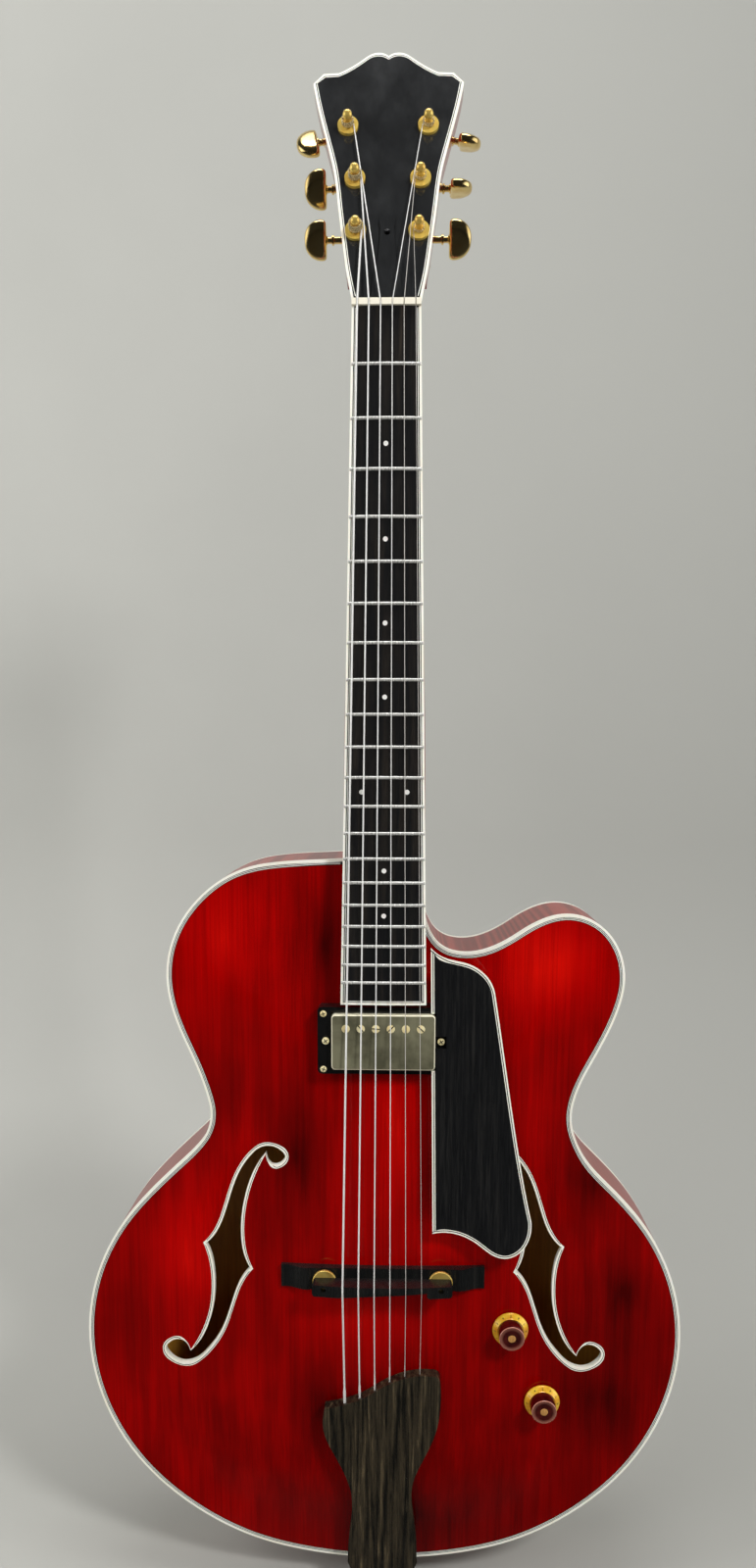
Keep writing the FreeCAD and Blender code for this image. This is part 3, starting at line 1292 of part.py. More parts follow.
def pickguard(under):
    """Return the pickguard, its binding and the rest under its free end."""
    parts = {}
    low = RING_TOP + 0.2
    inner_edge = [GUARD_LOW_END[-1], GUARD_NECK_END[0]]
    runs = [GUARD_NECK_END, GUARD_OUTER, GUARD_LOW_END]
    rim = closed([spline(flat(run)).toShape() for run in runs] + [line(*flat(inner_edge))])
    inset = [inset_run(flat(run), GUARD_BINDING, -1) for run in runs]
    for index in range(2):
        meet = (inset[index][-1] + inset[index + 1][0]) * 0.5
        inset[index][-1] = meet
        inset[index + 1][0] = meet
    inset[0][0] = V(GUARD_NECK_END[0][0] + GUARD_BINDING, 0, inset[0][0].z - GUARD_BINDING * 0.5)
    inset[2][-1] = V(GUARD_LOW_END[-1][0] + GUARD_BINDING, 0, GUARD_LOW_END[-1][1] + GUARD_BINDING)
    core = closed([spline(run).toShape() for run in inset] + [line(inset[2][-1], inset[0][0])])
    notch = pickup_hole(low - 9, low + 20, RING_GAP + 0.2)
    whole = slab(rim, low, low + GUARD_THICK)
    middle = slab(core, low - 1, low + GUARD_THICK + 1)
    hinge = V(0, -low, PICKUP_Z + RING_WIDTH / 2)
    shapes = {"pickguard": whole.common(middle), "pickguard_binding": whole.cut(middle)}
    below = slab(rim, low - 40, low)
    rest = stud(GUARD_REST_RADIUS, *GUARD_REST_PLACE, 0, low + 20).cut(under)
    for name, shape in shapes.items():
        shape.rotate(hinge, V(1, 0, 0), -GUARD_SLOPE)
        parts[name] = on_body(shape.cut(notch))
    below.rotate(hinge, V(1, 0, 0), -GUARD_SLOPE)
    parts["pickguard_support"] = on_body(rest.common(below))
    return parts


def controls():
    """Return the two knobs on their shafts and the two potentiometers."""
    parts = {}
    pots = []
    for name, (x, z) in zip(("volume_knob", "tone_knob"), KNOB_PLACES):
        foot = highest(x, z, KNOB_SKIRT_RADIUS) + KNOB_LIFT
        seat = highest(x, z, POT_BUSH_RADIUS + 2)
        profile = [V(0, 0, 0), V(KNOB_SKIRT_RADIUS, 0, 0), V(KNOB_SKIRT_RADIUS, -1.5, 0),
                   V(KNOB_BODY_RADIUS, -KNOB_SKIRT_HEIGHT, 0), V(KNOB_TOP_RADIUS, 0.8 - KNOB_HEIGHT, 0),
                   V(KNOB_TOP_RADIUS - 0.8, -KNOB_HEIGHT, 0), V(0, -KNOB_HEIGHT, 0)]
        cap = Part.Face(Part.makePolygon(profile + profile[:1])).revolve(V(0, 0, 0), V(0, 1, 0), 360)
        cap.translate(V(x, -foot, z))
        room = stud(POT_BUSH_RADIUS + 2.6, x, z, foot - 1, seat + 5.0)
        back = lowest_inside(x, z, POT_RADIUS) - 0.1
        shaft = stud(SHAFT_RADIUS, x, z, back - 5.0, foot + KNOB_HEIGHT - 2)
        parts[name] = on_body(Part.makeCompound([cap.cut([room, shaft]), shaft]))
        can = stud(POT_RADIUS, x, z, back - POT_HEIGHT, back)
        bush = stud(POT_BUSH_RADIUS, x, z, back, seat + 4.2)
        nut_ring = stud(POT_BUSH_RADIUS + 2, x, z, seat + 0.1, seat + 2.4)
        bore = stud(SHAFT_RADIUS + RUNNING_GAP, x, z, back - 5.2, seat + 9)
        pots.append(on_body(merged([can, bush, nut_ring]).cut(bore)))
    parts["control_pots"] = Part.makeCompound(pots)
    return parts


def main():
    """Build every piece and write one file per node."""
    outer, inner = plate_faces(TOP_ARCH)
    parts = {}
    parts.update(sound_box((outer, inner), plate_faces(BACK_ARCH)))
    parts.update(neck())
    parts.update(fingerboard())
    parts["nut"] = nut()
    parts.update(tuners())
    parts.update(bridge(outer))
    parts.update(tail_group())
    parts.update(pickup(outer))
    parts.update(pickguard(outer))
    parts.update(controls())
    parts["strings"] = Part.makeCompound([string(n) for n in range(STRING_COUNT)])
    for name, shape in sorted(parts.items()):
        shape.exportStep(os.path.join("parts", name + ".step"))
        print(name, "solids", len(shape.Solids), "valid", shape.isValid(), "volume %.0f" % shape.Volume)
    print("nodes", len(parts))


main()
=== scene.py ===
"""Looks of a red archtop guitar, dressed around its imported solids.

Sizes are in millimetres and degrees, in the drawings that the part's source uses:
x to the treble side, h towards the front and z up the neck. Drawing.place() turns them into
metres of the shared frame.
"""

import logging
import math
from dataclasses import dataclass
from enum import Enum

import bmesh
import bpy
import numpy as np
from mathutils import Matrix, Vector
from mathutils.bvhtree import BVHTree


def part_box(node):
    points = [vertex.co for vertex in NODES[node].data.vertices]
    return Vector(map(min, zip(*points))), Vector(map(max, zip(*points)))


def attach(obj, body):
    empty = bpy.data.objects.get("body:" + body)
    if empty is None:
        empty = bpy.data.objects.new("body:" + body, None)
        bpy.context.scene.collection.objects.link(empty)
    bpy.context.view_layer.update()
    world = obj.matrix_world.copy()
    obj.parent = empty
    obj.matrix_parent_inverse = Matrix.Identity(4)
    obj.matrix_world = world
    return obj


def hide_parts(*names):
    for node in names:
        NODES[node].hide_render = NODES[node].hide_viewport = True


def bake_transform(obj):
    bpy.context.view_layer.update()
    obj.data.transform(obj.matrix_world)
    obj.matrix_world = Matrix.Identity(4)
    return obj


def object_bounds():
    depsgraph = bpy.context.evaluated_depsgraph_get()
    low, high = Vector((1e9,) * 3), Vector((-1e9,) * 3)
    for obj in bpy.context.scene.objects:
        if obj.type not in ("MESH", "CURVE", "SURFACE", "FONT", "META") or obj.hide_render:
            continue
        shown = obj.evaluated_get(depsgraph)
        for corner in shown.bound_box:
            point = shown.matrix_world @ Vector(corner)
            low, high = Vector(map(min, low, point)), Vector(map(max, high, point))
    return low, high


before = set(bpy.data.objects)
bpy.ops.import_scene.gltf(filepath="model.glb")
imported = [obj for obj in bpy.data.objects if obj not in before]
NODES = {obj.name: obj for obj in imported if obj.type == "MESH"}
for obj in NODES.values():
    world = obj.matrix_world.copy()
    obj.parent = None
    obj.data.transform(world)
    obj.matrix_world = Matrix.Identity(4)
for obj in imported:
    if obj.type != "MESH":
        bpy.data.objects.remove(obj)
CAD_BOX = [list(corner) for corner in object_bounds()]
LOG = logging.getLogger("guitar")
MM = 0.001
Socket = bpy.types.NodeSocket
Material = bpy.types.Material

# Points of a mesh this near are one, and edges this short are taken out, in metres
SAME_POINT = 1e-7
NO_EDGE = 1e-8

# Columns round a tube, and how far in metres its closing points stand off
TUBE_STEPS = 10
CAP_STEP = 1e-6

# A ray that looks for a surface starts this far in front of the rim, in millimetres
CLEAR_OF_FRONT = 120.0

# Sizes that several pieces share, as in the part's source
SCALE_LENGTH = 635.0
BODY_FRET = 14
NECK_ANGLE = 4.0
HEAD_ANGLE = 13.0
BOARD_OVER_RIM = 19.0
BOARD_RADIUS = 305.0
HEAD_DROP = 4.0
STRING_COUNT = 6
PICKUP_Z = -123.6
BRIDGE_Z = -294.5
JOINT_FROM_NUT = SCALE_LENGTH * (1 - 2 ** (-BODY_FRET / 12))
JOINT_Z = -JOINT_FROM_NUT * math.cos(math.radians(NECK_ANGLE))
RIM_Y = BOARD_OVER_RIM - JOINT_FROM_NUT * math.sin(math.radians(NECK_ANGLE))


class Drawing(Enum):
    """The three drawings that the pieces are laid out in."""

    BODY = 0.0
    NECK = NECK_ANGLE
    HEAD = NECK_ANGLE + HEAD_ANGLE

    def place(self, x: np.ndarray, h: np.ndarray, z: np.ndarray) -> np.ndarray:
        """Turn a drawing's coordinates into points of the shared frame.

        Args:
            x: across, to the treble side, in millimetres.
            h: height towards the front.
            z: up the neck.

        Returns:
            An array of points in metres, one more axis than the inputs.
        """
        x, h, z = np.broadcast_arrays(np.asarray(x, float), h, z)
        if self is Drawing.BODY:
            return np.stack([x, RIM_Y - h, JOINT_Z + z], -1) * MM
        slope = math.radians(self.value)
        back = z * math.sin(slope) - h * math.cos(slope)
        return np.stack([x, back, h * math.sin(slope) + z * math.cos(slope)], -1) * MM

    def front(self) -> np.ndarray:
        """Return the direction towards the front, at length one."""
        slope = math.radians(self.value)
        return np.array([0.0, -math.cos(slope), math.sin(slope)])


# Curves and surfaces

def spline_run(points: np.ndarray, per: int = 8) -> np.ndarray:
    """Return a smooth run through points: cubic spans whose slopes agree at each point.

    The end slopes are those of a parabola through the first or last three points.

    Args:
        points: the points to pass through, one per row.
        per: how many steps each span gets.

    Returns:
        The points of the run, the first and last as given.
    """
    points = np.asarray(points, float)
    step = np.linalg.norm(np.diff(points, axis=0), axis=1)
    rise = np.diff(points, axis=0) / step[:, None]
    count = len(points)
    matrix = np.eye(count)
    right = np.zeros_like(points)
    inner = np.arange(1, count - 1)
    matrix[inner, inner - 1] = 1 / step[:-1]
    matrix[inner, inner] = 2 / step[:-1] + 2 / step[1:]
    matrix[inner, inner + 1] = 1 / step[1:]
    right[inner] = 3 * (rise[:-1] / step[:-1, None] + rise[1:] / step[1:, None])
    right[0] = rise[0] + (rise[0] - rise[1]) * step[0] / (step[0] + step[1])
    right[-1] = rise[-1] + (rise[-1] - rise[-2]) * step[-1] / (step[-1] + step[-2])
    slope = np.linalg.solve(matrix, right)
    t = (np.arange(per) / per)[None, :, None]
    span = step[:, None, None]
    start, end = points[:-1, None], points[1:, None]
    leave, reach = slope[:-1, None] * span, slope[1:, None] * span
    run = (start * (2 * t ** 3 - 3 * t ** 2 + 1) + end * (3 * t ** 2 - 2 * t ** 3)
           + leave * (t ** 3 - 2 * t ** 2 + t) + reach * (t ** 3 - t ** 2))
    return np.vstack([run.reshape(-1, points.shape[1]), points[-1:]])


def offset_run(run: np.ndarray, distance: float) -> np.ndarray:
    """Return a flat run of (x, z) pairs moved sideways, to the left of the way it goes."""
    ahead = np.gradient(run, axis=0)
    ahead /= np.linalg.norm(ahead, axis=1)[:, None]
    return run + distance * np.stack([-ahead[:, 1], ahead[:, 0]], 1)


def mirrored(points: np.ndarray) -> np.ndarray:
    """Return (x, z) pairs on the other side of the middle, in the opposite order."""
    return (np.asarray(points, float) * (-1, 1))[::-1]


def board_drop(x: np.ndarray) -> np.ndarray:
    """Return how far the rounded playing face has fallen at a distance from its middle."""
    return BOARD_RADIUS - np.sqrt(BOARD_RADIUS ** 2 - np.asarray(x, float) ** 2)


def unit(vectors: np.ndarray) -> np.ndarray:
    """Return vectors at length one."""
    return vectors / np.linalg.norm(vectors, axis=-1, keepdims=True)


def swept(path: np.ndarray, up: np.ndarray, across: np.ndarray, rise: np.ndarray) -> np.ndarray:
    """Carry a flat section along a path.

    A section point (a, b) lands at path + a * side + b * up, where side is at right angles to the
    path and to up.

    Args:
        path: the path's points, (n, 3).
        up: the direction of the section's second axis, one for all points or one each.
        across: the section's first coordinates, (m,) or one row for each path point.
        rise: the section's second coordinates, as across.

    Returns:
        A grid of points, (n, m, 3).
    """
    ahead = unit(np.gradient(path, axis=0))
    up = np.broadcast_to(up, path.shape)
    side = unit(np.cross(ahead, up))
    normal = np.cross(side, ahead)
    across = np.broadcast_to(across, (len(path), np.shape(across)[-1]))
    rise = np.broadcast_to(rise, across.shape)
    return path[:, None] + across[..., None] * side[:, None] + rise[..., None] * normal[:, None]


def tube_grid(path: np.ndarray, radius: np.ndarray, up: np.ndarray) -> tuple:
    """Carry a circle along a path, a = r cos t and b = r sin t, and close both ends.

    Args:
        path: points in metres.
        radius: millimetres, one for all points or one each.
        up: a direction that the path never follows.

    Returns:
        The grid of points, and for each the metres along the path with the share of a turn.
    """
    turn = np.arange(TUBE_STEPS) * 2 * math.pi / TUBE_STEPS
    radius = np.broadcast_to(np.asarray(radius, float), len(path)) * MM
    size = np.concatenate([[0.0], radius, [0.0]])[:, None]
    first, last = unit(path[1] - path[0]), unit(path[-1] - path[-2])
    path = np.vstack([path[0] - first * CAP_STEP, path, path[-1] + last * CAP_STEP])
    grid = swept(path, up, size * np.cos(turn), size * np.sin(turn))
    along = np.concatenate([[0.0], np.cumsum(np.linalg.norm(np.diff(path, axis=0), axis=1))])
    return grid, np.stack(np.broadcast_arrays(along[:, None], turn / (2 * math.pi)), -1)


def turned_grid(radius: np.ndarray, height: np.ndarray, steps: int) -> tuple:
    """Spin a profile round an axis: x = r cos t, z = r sin t, h stays.

    Args:
        radius: the profile's radii.
        height: the profile's heights.
        steps: how many columns go round.

    Returns:
        Three arrays x, h and z of profile points by columns.
    """
    turn = np.arange(steps) * 2 * math.pi / steps
    radius = np.asarray(radius, float)[:, None]
    height = np.asarray(height, float)[:, None] + 0 * turn
    return radius * np.cos(turn), height, radius * np.sin(turn)


class Shell:
    """The faces of one piece, gathered from grids of points."""

    def __init__(self) -> None:
        """Start with nothing in it."""
        self.points: list = []
        self.faces: list = []
        self.maps: list = []
        self.count = 0

    def add(self, grid: np.ndarray, round_rows: bool = False, round_columns: bool = False,
            map_at: np.ndarray | None = None) -> "Shell":
        """Add a grid of points as quads.

        Args:
            grid: points in metres, (rows, columns, 3).
            round_rows: whether the last row joins the first.
            round_columns: whether the last column joins the first.
            map_at: a flat place for each point, (rows, columns, 2), for finishes that follow it.

        Returns:
            The shell itself.
        """
        rows, columns = grid.shape[:2]
        i = np.arange(rows if round_rows else rows - 1)[:, None]
        j = np.arange(columns if round_columns else columns - 1)[None]
        below, beside = (i + 1) % rows, (j + 1) % columns
        quads = np.stack([i * columns + j, i * columns + beside,
                          below * columns + beside, below * columns + j], -1)
        self.faces.append(quads.reshape(-1, 4) + self.count)
        self.points.append(grid.reshape(-1, 3))
        flat = np.zeros((rows * columns, 2)) if map_at is None else map_at.reshape(-1, 2)
        self.maps.append(flat)
        self.count += rows * columns
        return self

    def spin(self, drawing: Drawing, at: tuple, profile: list, steps: int) -> "Shell":
        """Add a profile spun about an axis that points to the front.

        Args:
            drawing: the drawing that the axis stands in.
            at: x, h and z of the profile's own origin.
            profile: pairs of radius and height.
            steps: how many columns go round.

        Returns:
            The shell itself.
        """
        x, h, z = at
        grid_x, grid_h, grid_z = turned_grid(*np.transpose(profile), steps)
        return self.add(drawing.place(grid_x + x, grid_h + h, grid_z + z), round_columns=True)

    def piece(self, name: str, material: Material, sharp: float = 40.0) -> bpy.types.Object:
        """Make the object: doubles merged, faces outwards, edges sharp past an angle.

        Args:
            name: the piece's name.
            material: its finish.
            sharp: the angle between faces past which an edge stays hard.

        Returns:
            The object, at the origin.
        """
        mesh = bpy.data.meshes.new(name)
        mesh.from_pydata(np.vstack(self.points).tolist(), [], np.vstack(self.faces).tolist())
        layer = mesh.uv_layers.new(name="run")
        corners = np.zeros(len(mesh.loops), np.int32)
        mesh.loops.foreach_get("vertex_index", corners)
        layer.data.foreach_set("uv", np.vstack(self.maps)[corners].astype(np.float32).ravel())
        work = bmesh.new()
        work.from_mesh(mesh)
        bmesh.ops.remove_doubles(work, verts=work.verts, dist=SAME_POINT)
        bmesh.ops.dissolve_degenerate(work, edges=work.edges, dist=NO_EDGE)
        bmesh.ops.recalc_face_normals(work, faces=work.faces)
        work.to_mesh(mesh)
        work.free()
        mesh.shade_smooth()
        mesh.set_sharp_from_angle(angle=math.radians(sharp))
        mesh.materials.append(material)
        made = bpy.data.objects.new(name, mesh)
        bpy.context.scene.collection.objects.link(made)
        return made


def settle(piece: bpy.types.Object, body: str, slot: str, *stood_for: str) -> bpy.types.Object:
    """Let a piece ride on a body and stand for solids.

    Args:
        piece: the object.
        body: the body that it moves with.
        slot: the record's material slot; not used.
        stood_for: the nodes that it replaces.

    Returns:
        The object.
    """
    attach(piece, body)
    if stood_for:
        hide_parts(*stood_for)
    LOG.info("piece %s on %s", piece.name, body)
    return piece


def dress(finish: "Finish", *names: str) -> None:
    """Give solids their finish."""
    for name in names:
        materials = NODES[name].data.materials
        materials.clear()
        materials.append(finish.material())
        LOG.info("dressed %s in %s", name, finish.title)


# Finishes

class Nodes:
    """A node tree, with short calls for the nodes that finishes and the room share."""

    def __init__(self, tree: bpy.types.NodeTree) -> None:
        """Take the tree that the nodes go into."""
        self.tree = tree

    def add(self, kind: str, inputs: dict, **settings: object) -> bpy.types.Node:
        """Add a node, set its options, and set or link its inputs."""
        node = self.tree.nodes.new("ShaderNode" + kind)
        for name, value in settings.items():
            setattr(node, name, value)
        self.fill(node, inputs)
        return node

    def fill(self, node: bpy.types.Node, inputs: dict) -> None:
        """Set or link a node's inputs."""
        for key, value in inputs.items():
            if isinstance(value, Socket):
                self.tree.links.new(value, node.inputs[key])
            else:
                node.inputs[key].default_value = value

    def math(self, kind: str, first: object, second: object = 0.0) -> Socket:
        """Return two values added, multiplied or the like."""
        return self.add("Math", {0: first, 1: second}, operation=kind).outputs[0]

    def span(self, value: Socket, low: float, high: float, start: float = 0.0, end: float = 1.0) -> Socket:
        """Return a value from one range carried over to another, and held to it."""
        inputs = {"Value": value, "From Min": start, "From Max": end, "To Min": low, "To Max": high}
        return self.add("MapRange", inputs).outputs["Result"]


class Recipe(Nodes):
    """A material's nodes."""

    def __init__(self, title: str) -> None:
        """Start a material with its shader."""
        self.material = bpy.data.materials.new(title)
        self.material.use_nodes = True
        super().__init__(self.material.node_tree)
        self.shader = self.tree.nodes["Principled BSDF"]

    def place(self, scale: tuple, turn: tuple = (0.0, 0.0, 0.0), source: str = "Object") -> Socket:
        """Return coordinates, scaled and turned."""
        coords = self.add("TexCoord", {}).outputs[source]
        return self.add("Mapping", {"Vector": coords, "Scale": scale, "Rotation": turn}).outputs["Vector"]

    def noise(self, scale: object, detail: float = 3.0, rough: float = 0.55, bend: float = 0.0) -> Socket:
        """Return a cloudy value between 0 and 1, by clouds to the metre, one number or one for each axis."""
        at = self.place(scale if isinstance(scale, tuple) else (scale,) * 3)
        inputs = {"Vector": at, "Scale": 1.0, "Detail": detail, "Roughness": rough, "Distortion": bend}
        return self.add("TexNoise", inputs).outputs["Fac"]

    def bands(self, at: Socket, bend: float, detail: float = 2.0, axis: str = "Z") -> Socket:
        """Return soft stripes between 0 and 1 along one axis."""
        inputs = {"Vector": at, "Scale": 1.0, "Distortion": bend, "Detail": detail}
        return self.add("TexWave", inputs, bands_direction=axis, wave_profile="SIN").outputs["Fac"]

    def ramp(self, value: Socket, *stops: tuple) -> Socket:
        """Return a colour for a value, by stops of (place, colour)."""
        node = self.add("ValToRGB", {"Fac": value})
        elements = node.color_ramp.elements
        while len(elements) < len(stops):
            elements.new(0.5)
        for element, (place, colour) in zip(elements, stops):
            element.position = place
            element.color = (*colour, 1.0)
        return node.outputs["Color"]

    def mix(self, share: object, first: object, second: object, kind: str = "MIX") -> Socket:
        """Return two colours mixed by a share: the node's inputs 6 and 7 and its output 2 are colours."""
        node = self.add("Mix", {}, data_type="RGBA", blend_type=kind)
        first, second = [(*part, 1.0) if isinstance(part, tuple) else part for part in (first, second)]
        self.fill(node, {0: share, 6: first, 7: second})
        return node.outputs[2]

    def grained(self, tone: Socket, grain: Socket, share: float, dark: float, start: float,
                end: float) -> Socket:
        """Return a colour dimmed where a grain's value is low: fully at start, not at all from end on."""
        lines = self.ramp(grain, (start, (dark,) * 3), (end, (1.0,) * 3))
        return self.mix(share, tone, lines, "MULTIPLY")

    def bump(self, height: Socket, depth_mm: float, strength: float = 1.0) -> Socket:
        """Return a surface direction tilted by a height, whose full depth is given."""
        inputs = {"Height": height, "Distance": depth_mm * MM, "Strength": strength}
        return self.add("Bump", inputs).outputs["Normal"]

    def spot(self, middle: np.ndarray, half: tuple) -> Socket:
        """Return a value that fades from 1 at a place in metres to 0 at half sizes from it."""
        coords = self.add("TexCoord", {}).outputs["Object"]
        inputs = {"Vector": coords, "Location": middle, "Scale": half}
        at = self.add("Mapping", inputs, vector_type="TEXTURE").outputs["Vector"]
        return self.add("TexGradient", {"Vector": at}, gradient_type="QUADRATIC_SPHERE").outputs["Fac"]

    def facing(self, axis: str) -> Socket:
        """Return how far a face looks along one axis of the frame, from -1 to 1."""
        normal = self.add("NewGeometry", {}).outputs["Normal"]
        return self.add("SeparateXYZ", {"Vector": normal}).outputs[axis]

    def done(self, **inputs: object) -> Material:
        """Set the shader's inputs by name, underscores for spaces, and return the material."""
        self.fill(self.shader, {key.replace("_", " "): value for key, value in inputs.items()})
        return self.material


@dataclass(frozen=True)
class Finish:
    """A finish. Each kind has its own mix() that makes the material once."""

    title: str

    def material(self) -> Material:
        """Return the material, made the first time."""
        return bpy.data.materials.get(self.title) or self.mix(Recipe(self.title))

    def mix(self, recipe: Recipe) -> Material:
        """Return the material. Each kind says how."""
        raise NotImplementedError


@dataclass(frozen=True)
class StainedSpruce(Finish):
    """Straight-grained spruce under transparent red stain and gloss lacquer, raw on the inside."""

    glow: tuple = (0.66, 0.004, 0.0015)
    bright: tuple = (0.44, 0.0006, 0.0004)
    middle: tuple = (0.22, 0.0004, 0.0003)
    deep: tuple = (0.06, 0.0002, 0.0002)
    raw: tuple = (0.66, 0.30, 0.035)
    raw_light: tuple = (0.82, 0.40, 0.06)
    # How far the bright places lift the level (thin stain and painted light) and the dark places lower it
    # (thick stain and painted shade)
    thin_gain: float = 0.40
    thick_loss: float = 0.34

    # Where the stain is thin, with painted light, and where it is thick, with painted shade such as the
    # shadows beside neck and tailpiece: x, z and two half sizes in the body drawing
    thin: tuple = ((-112.0, -58.0, 60.0, 100.0), (105.0, -80.0, 90.0, 95.0), (10.0, -190.0, 32.0, 120.0),
                   (-10.0, -320.0, 90.0, 70.0), (42.0, -266.0, 40.0, 32.0), (-140.0, -290.0, 50.0, 90.0),
                   (118.0, -72.0, 50.0, 60.0))
    thick: tuple = ((-42.0, -60.0, 30.0, 95.0), (150.0, -225.0, 60.0, 90.0), (165.0, -390.0, 95.0, 130.0),
                    (30.0, -490.0, 200.0, 100.0), (-62.0, -210.0, 42.0, 110.0), (-45.0, -400.0, 40.0, 70.0),
                    (172.0, -310.0, 45.0, 65.0))

    def spots(self, recipe: Recipe, places: tuple, weight: float) -> Socket:
        """Return soft spots at places of the body drawing, added up and weighed."""
        total: object = 0.0
        for x, z, wide, tall in places:
            spot = recipe.spot(Drawing.BODY.place(x, 0.0, z), (wide * MM, 1.0, tall * MM))
            total = recipe.math("ADD", spot, total)
        return recipe.math("MULTIPLY", total, weight)

    def mix(self, recipe: Recipe) -> Material:
        """Mix broad streaks, fine grain lines, and the thin and thick places of the stain, which carry
        painted light and painted shade too.
        """
        streaks = recipe.noise((110.0, 40.0, 8.0), 4.0, 0.6, 0.3)
        clouds = recipe.noise((22.0, 22.0, 14.0), 2.0)
        grain = recipe.noise((900.0, 300.0, 9.0), 2.0, 0.6)
        level = recipe.span(recipe.mix(0.5, streaks, clouds), 0.33, 0.65, 0.3, 0.7)
        # Painted light in the thin places and painted shade, shadows among it, in the thick ones, on top of
        # the stain's own change
        level = recipe.math("ADD", level, self.spots(recipe, self.thin, self.thin_gain))
        level = recipe.math("SUBTRACT", level, self.spots(recipe, self.thick, self.thick_loss))
        tone = recipe.ramp(level, (0.12, self.deep), (0.42, self.middle), (0.70, self.bright),
                           (1.0, self.glow))
        tone = recipe.grained(tone, grain, 0.8, 0.74, 0.35, 0.6)
        inside = recipe.mix(grain, self.raw, self.raw_light)
        back = recipe.span(recipe.facing("Y"), 0.0, 1.0, 0.1, 0.3)
        coat = recipe.span(back, 1.0, 0.0)
        ripple = recipe.bump(recipe.noise(40.0, 2.0), 0.02, 0.25)
        return recipe.done(Base_Color=recipe.mix(back, tone, inside), Coat_Weight=coat,
                           Roughness=0.5, Specular_IOR_Level=0.0, Coat_Roughness=0.045,
                           Coat_IOR=1.45, Coat_Normal=ripple, Normal=recipe.bump(grain, 0.03, 0.3))


@dataclass(frozen=True)
class FlamedMaple(Finish):
    """Maple under the same red stain, with the soft cross stripes of its figure."""

    light: tuple = (0.38, 0.010, 0.006)
    dark: tuple = (0.11, 0.002, 0.0015)
    stripes: tuple = (8.0, 8.0, 260.0)
    tilt: float = 0.0
    coat: float = 1.0
    raw_side: str = ""
    raw: tuple = (0.68, 0.31, 0.035)
    raw_light: tuple = (0.84, 0.41, 0.06)

    def mix(self, recipe: Recipe) -> Material:
        """Mix stripes, fine grain and slow clouds; the raw side, if there is one, is bare wood."""
        figure = recipe.bands(recipe.place(self.stripes, (0.0, self.tilt, 0.0)), 5.0, 2.0)
        clouds = recipe.noise((22.0, 22.0, 12.0), 3.0)
        grain = recipe.noise((420.0, 420.0, 14.0), 2.0)
        tone = recipe.ramp(recipe.mix(0.4, figure, clouds), (0.25, self.dark), (0.7, self.light))
        tone = recipe.grained(tone, grain, 0.7, 0.75, 0.3, 0.65)
        coat: object = self.coat
        if self.raw_side:
            bare = recipe.ramp(grain, (0.3, self.raw), (0.7, self.raw_light))
            share = recipe.span(recipe.facing(self.raw_side), 1.0, 0.0, -0.3, -0.1)
            tone = recipe.mix(share, tone, bare)
            coat = recipe.span(share, self.coat, 0.0)
        ripple = recipe.bump(recipe.noise(45.0, 2.0), 0.02, 0.25)
        return recipe.done(Base_Color=tone, Coat_Weight=coat, Roughness=0.40,
                           Specular_IOR_Level=0.3, Coat_Roughness=0.05, Coat_IOR=1.5,
                           Coat_Normal=ripple, Normal=recipe.bump(grain, 0.02, 0.25))


@dataclass(frozen=True)
class RawWood(Finish):
    """Bare pale wood of the inner pieces."""

    light: tuple = (0.48, 0.30, 0.15)
    dark: tuple = (0.30, 0.17, 0.075)
    grain_scale: tuple = (500.0, 500.0, 12.0)

    def mix(self, recipe: Recipe) -> Material:
        """Mix growth lines along the neck's direction."""
        grain = recipe.noise(self.grain_scale, 4.0, 0.6)
        tone = recipe.ramp(grain, (0.3, self.dark), (0.7, self.light))
        return recipe.done(Base_Color=tone, Roughness=0.7, Normal=recipe.bump(grain, 0.1, 0.4))


@dataclass(frozen=True)
class Ebony(Finish):
    """Oiled ebony: nearly black, with brown streaks along the grain and fine open pores."""

    black: tuple = (0.0085, 0.0085, 0.009)
    brown: tuple = (0.060, 0.045, 0.032)
    streak_start: float = 0.62
    streak_end: float = 0.86
    gloss: float = 0.34
    grain_scale: tuple = (160.0, 90.0, 6.0)

    def mix(self, recipe: Recipe) -> Material:
        """Mix wide streaks into black, then pores into gloss and height."""
        streaks = recipe.noise(self.grain_scale, 4.0, 0.62, 0.6)
        pores = recipe.noise((1500.0, 1500.0, 60.0), 2.0, 0.5)
        middle = tuple(0.75 * a + 0.25 * b for a, b in zip(self.black, self.brown))
        tone = recipe.ramp(streaks, (self.streak_start - 0.2, self.black), (self.streak_start, middle),
                           (self.streak_end, self.brown))
        tone = recipe.grained(tone, pores, 0.8, 0.55, 0.35, 0.55)
        gloss = recipe.span(pores, self.gloss + 0.16, self.gloss, 0.3, 0.6)
        return recipe.done(Base_Color=tone, Roughness=gloss, Specular_IOR_Level=0.45,
                           Normal=recipe.bump(pores, 0.05, 0.35))


@dataclass(frozen=True)
class Ivory(Finish):
    """Ivory plastic with faint streaks and a slight yellowing."""

    pale: tuple = (0.96, 0.94, 0.85)
    warm: tuple = (0.90, 0.86, 0.72)
    gloss: float = 0.24

    def mix(self, recipe: Recipe) -> Material:
        """Mix a slow yellowing and fine streaks."""
        slow = recipe.noise((30.0, 30.0, 18.0), 3.0)
        fine = recipe.noise((700.0, 700.0, 70.0), 2.0)
        tone = recipe.ramp(recipe.mix(0.35, slow, fine), (0.3, self.warm), (0.6, self.pale))
        rough = recipe.span(fine, self.gloss, self.gloss + 0.12)
        return recipe.done(Base_Color=tone, Roughness=rough, Subsurface_Weight=0.08,
                           Subsurface_Scale=0.001, Normal=recipe.bump(fine, 0.01, 0.2))


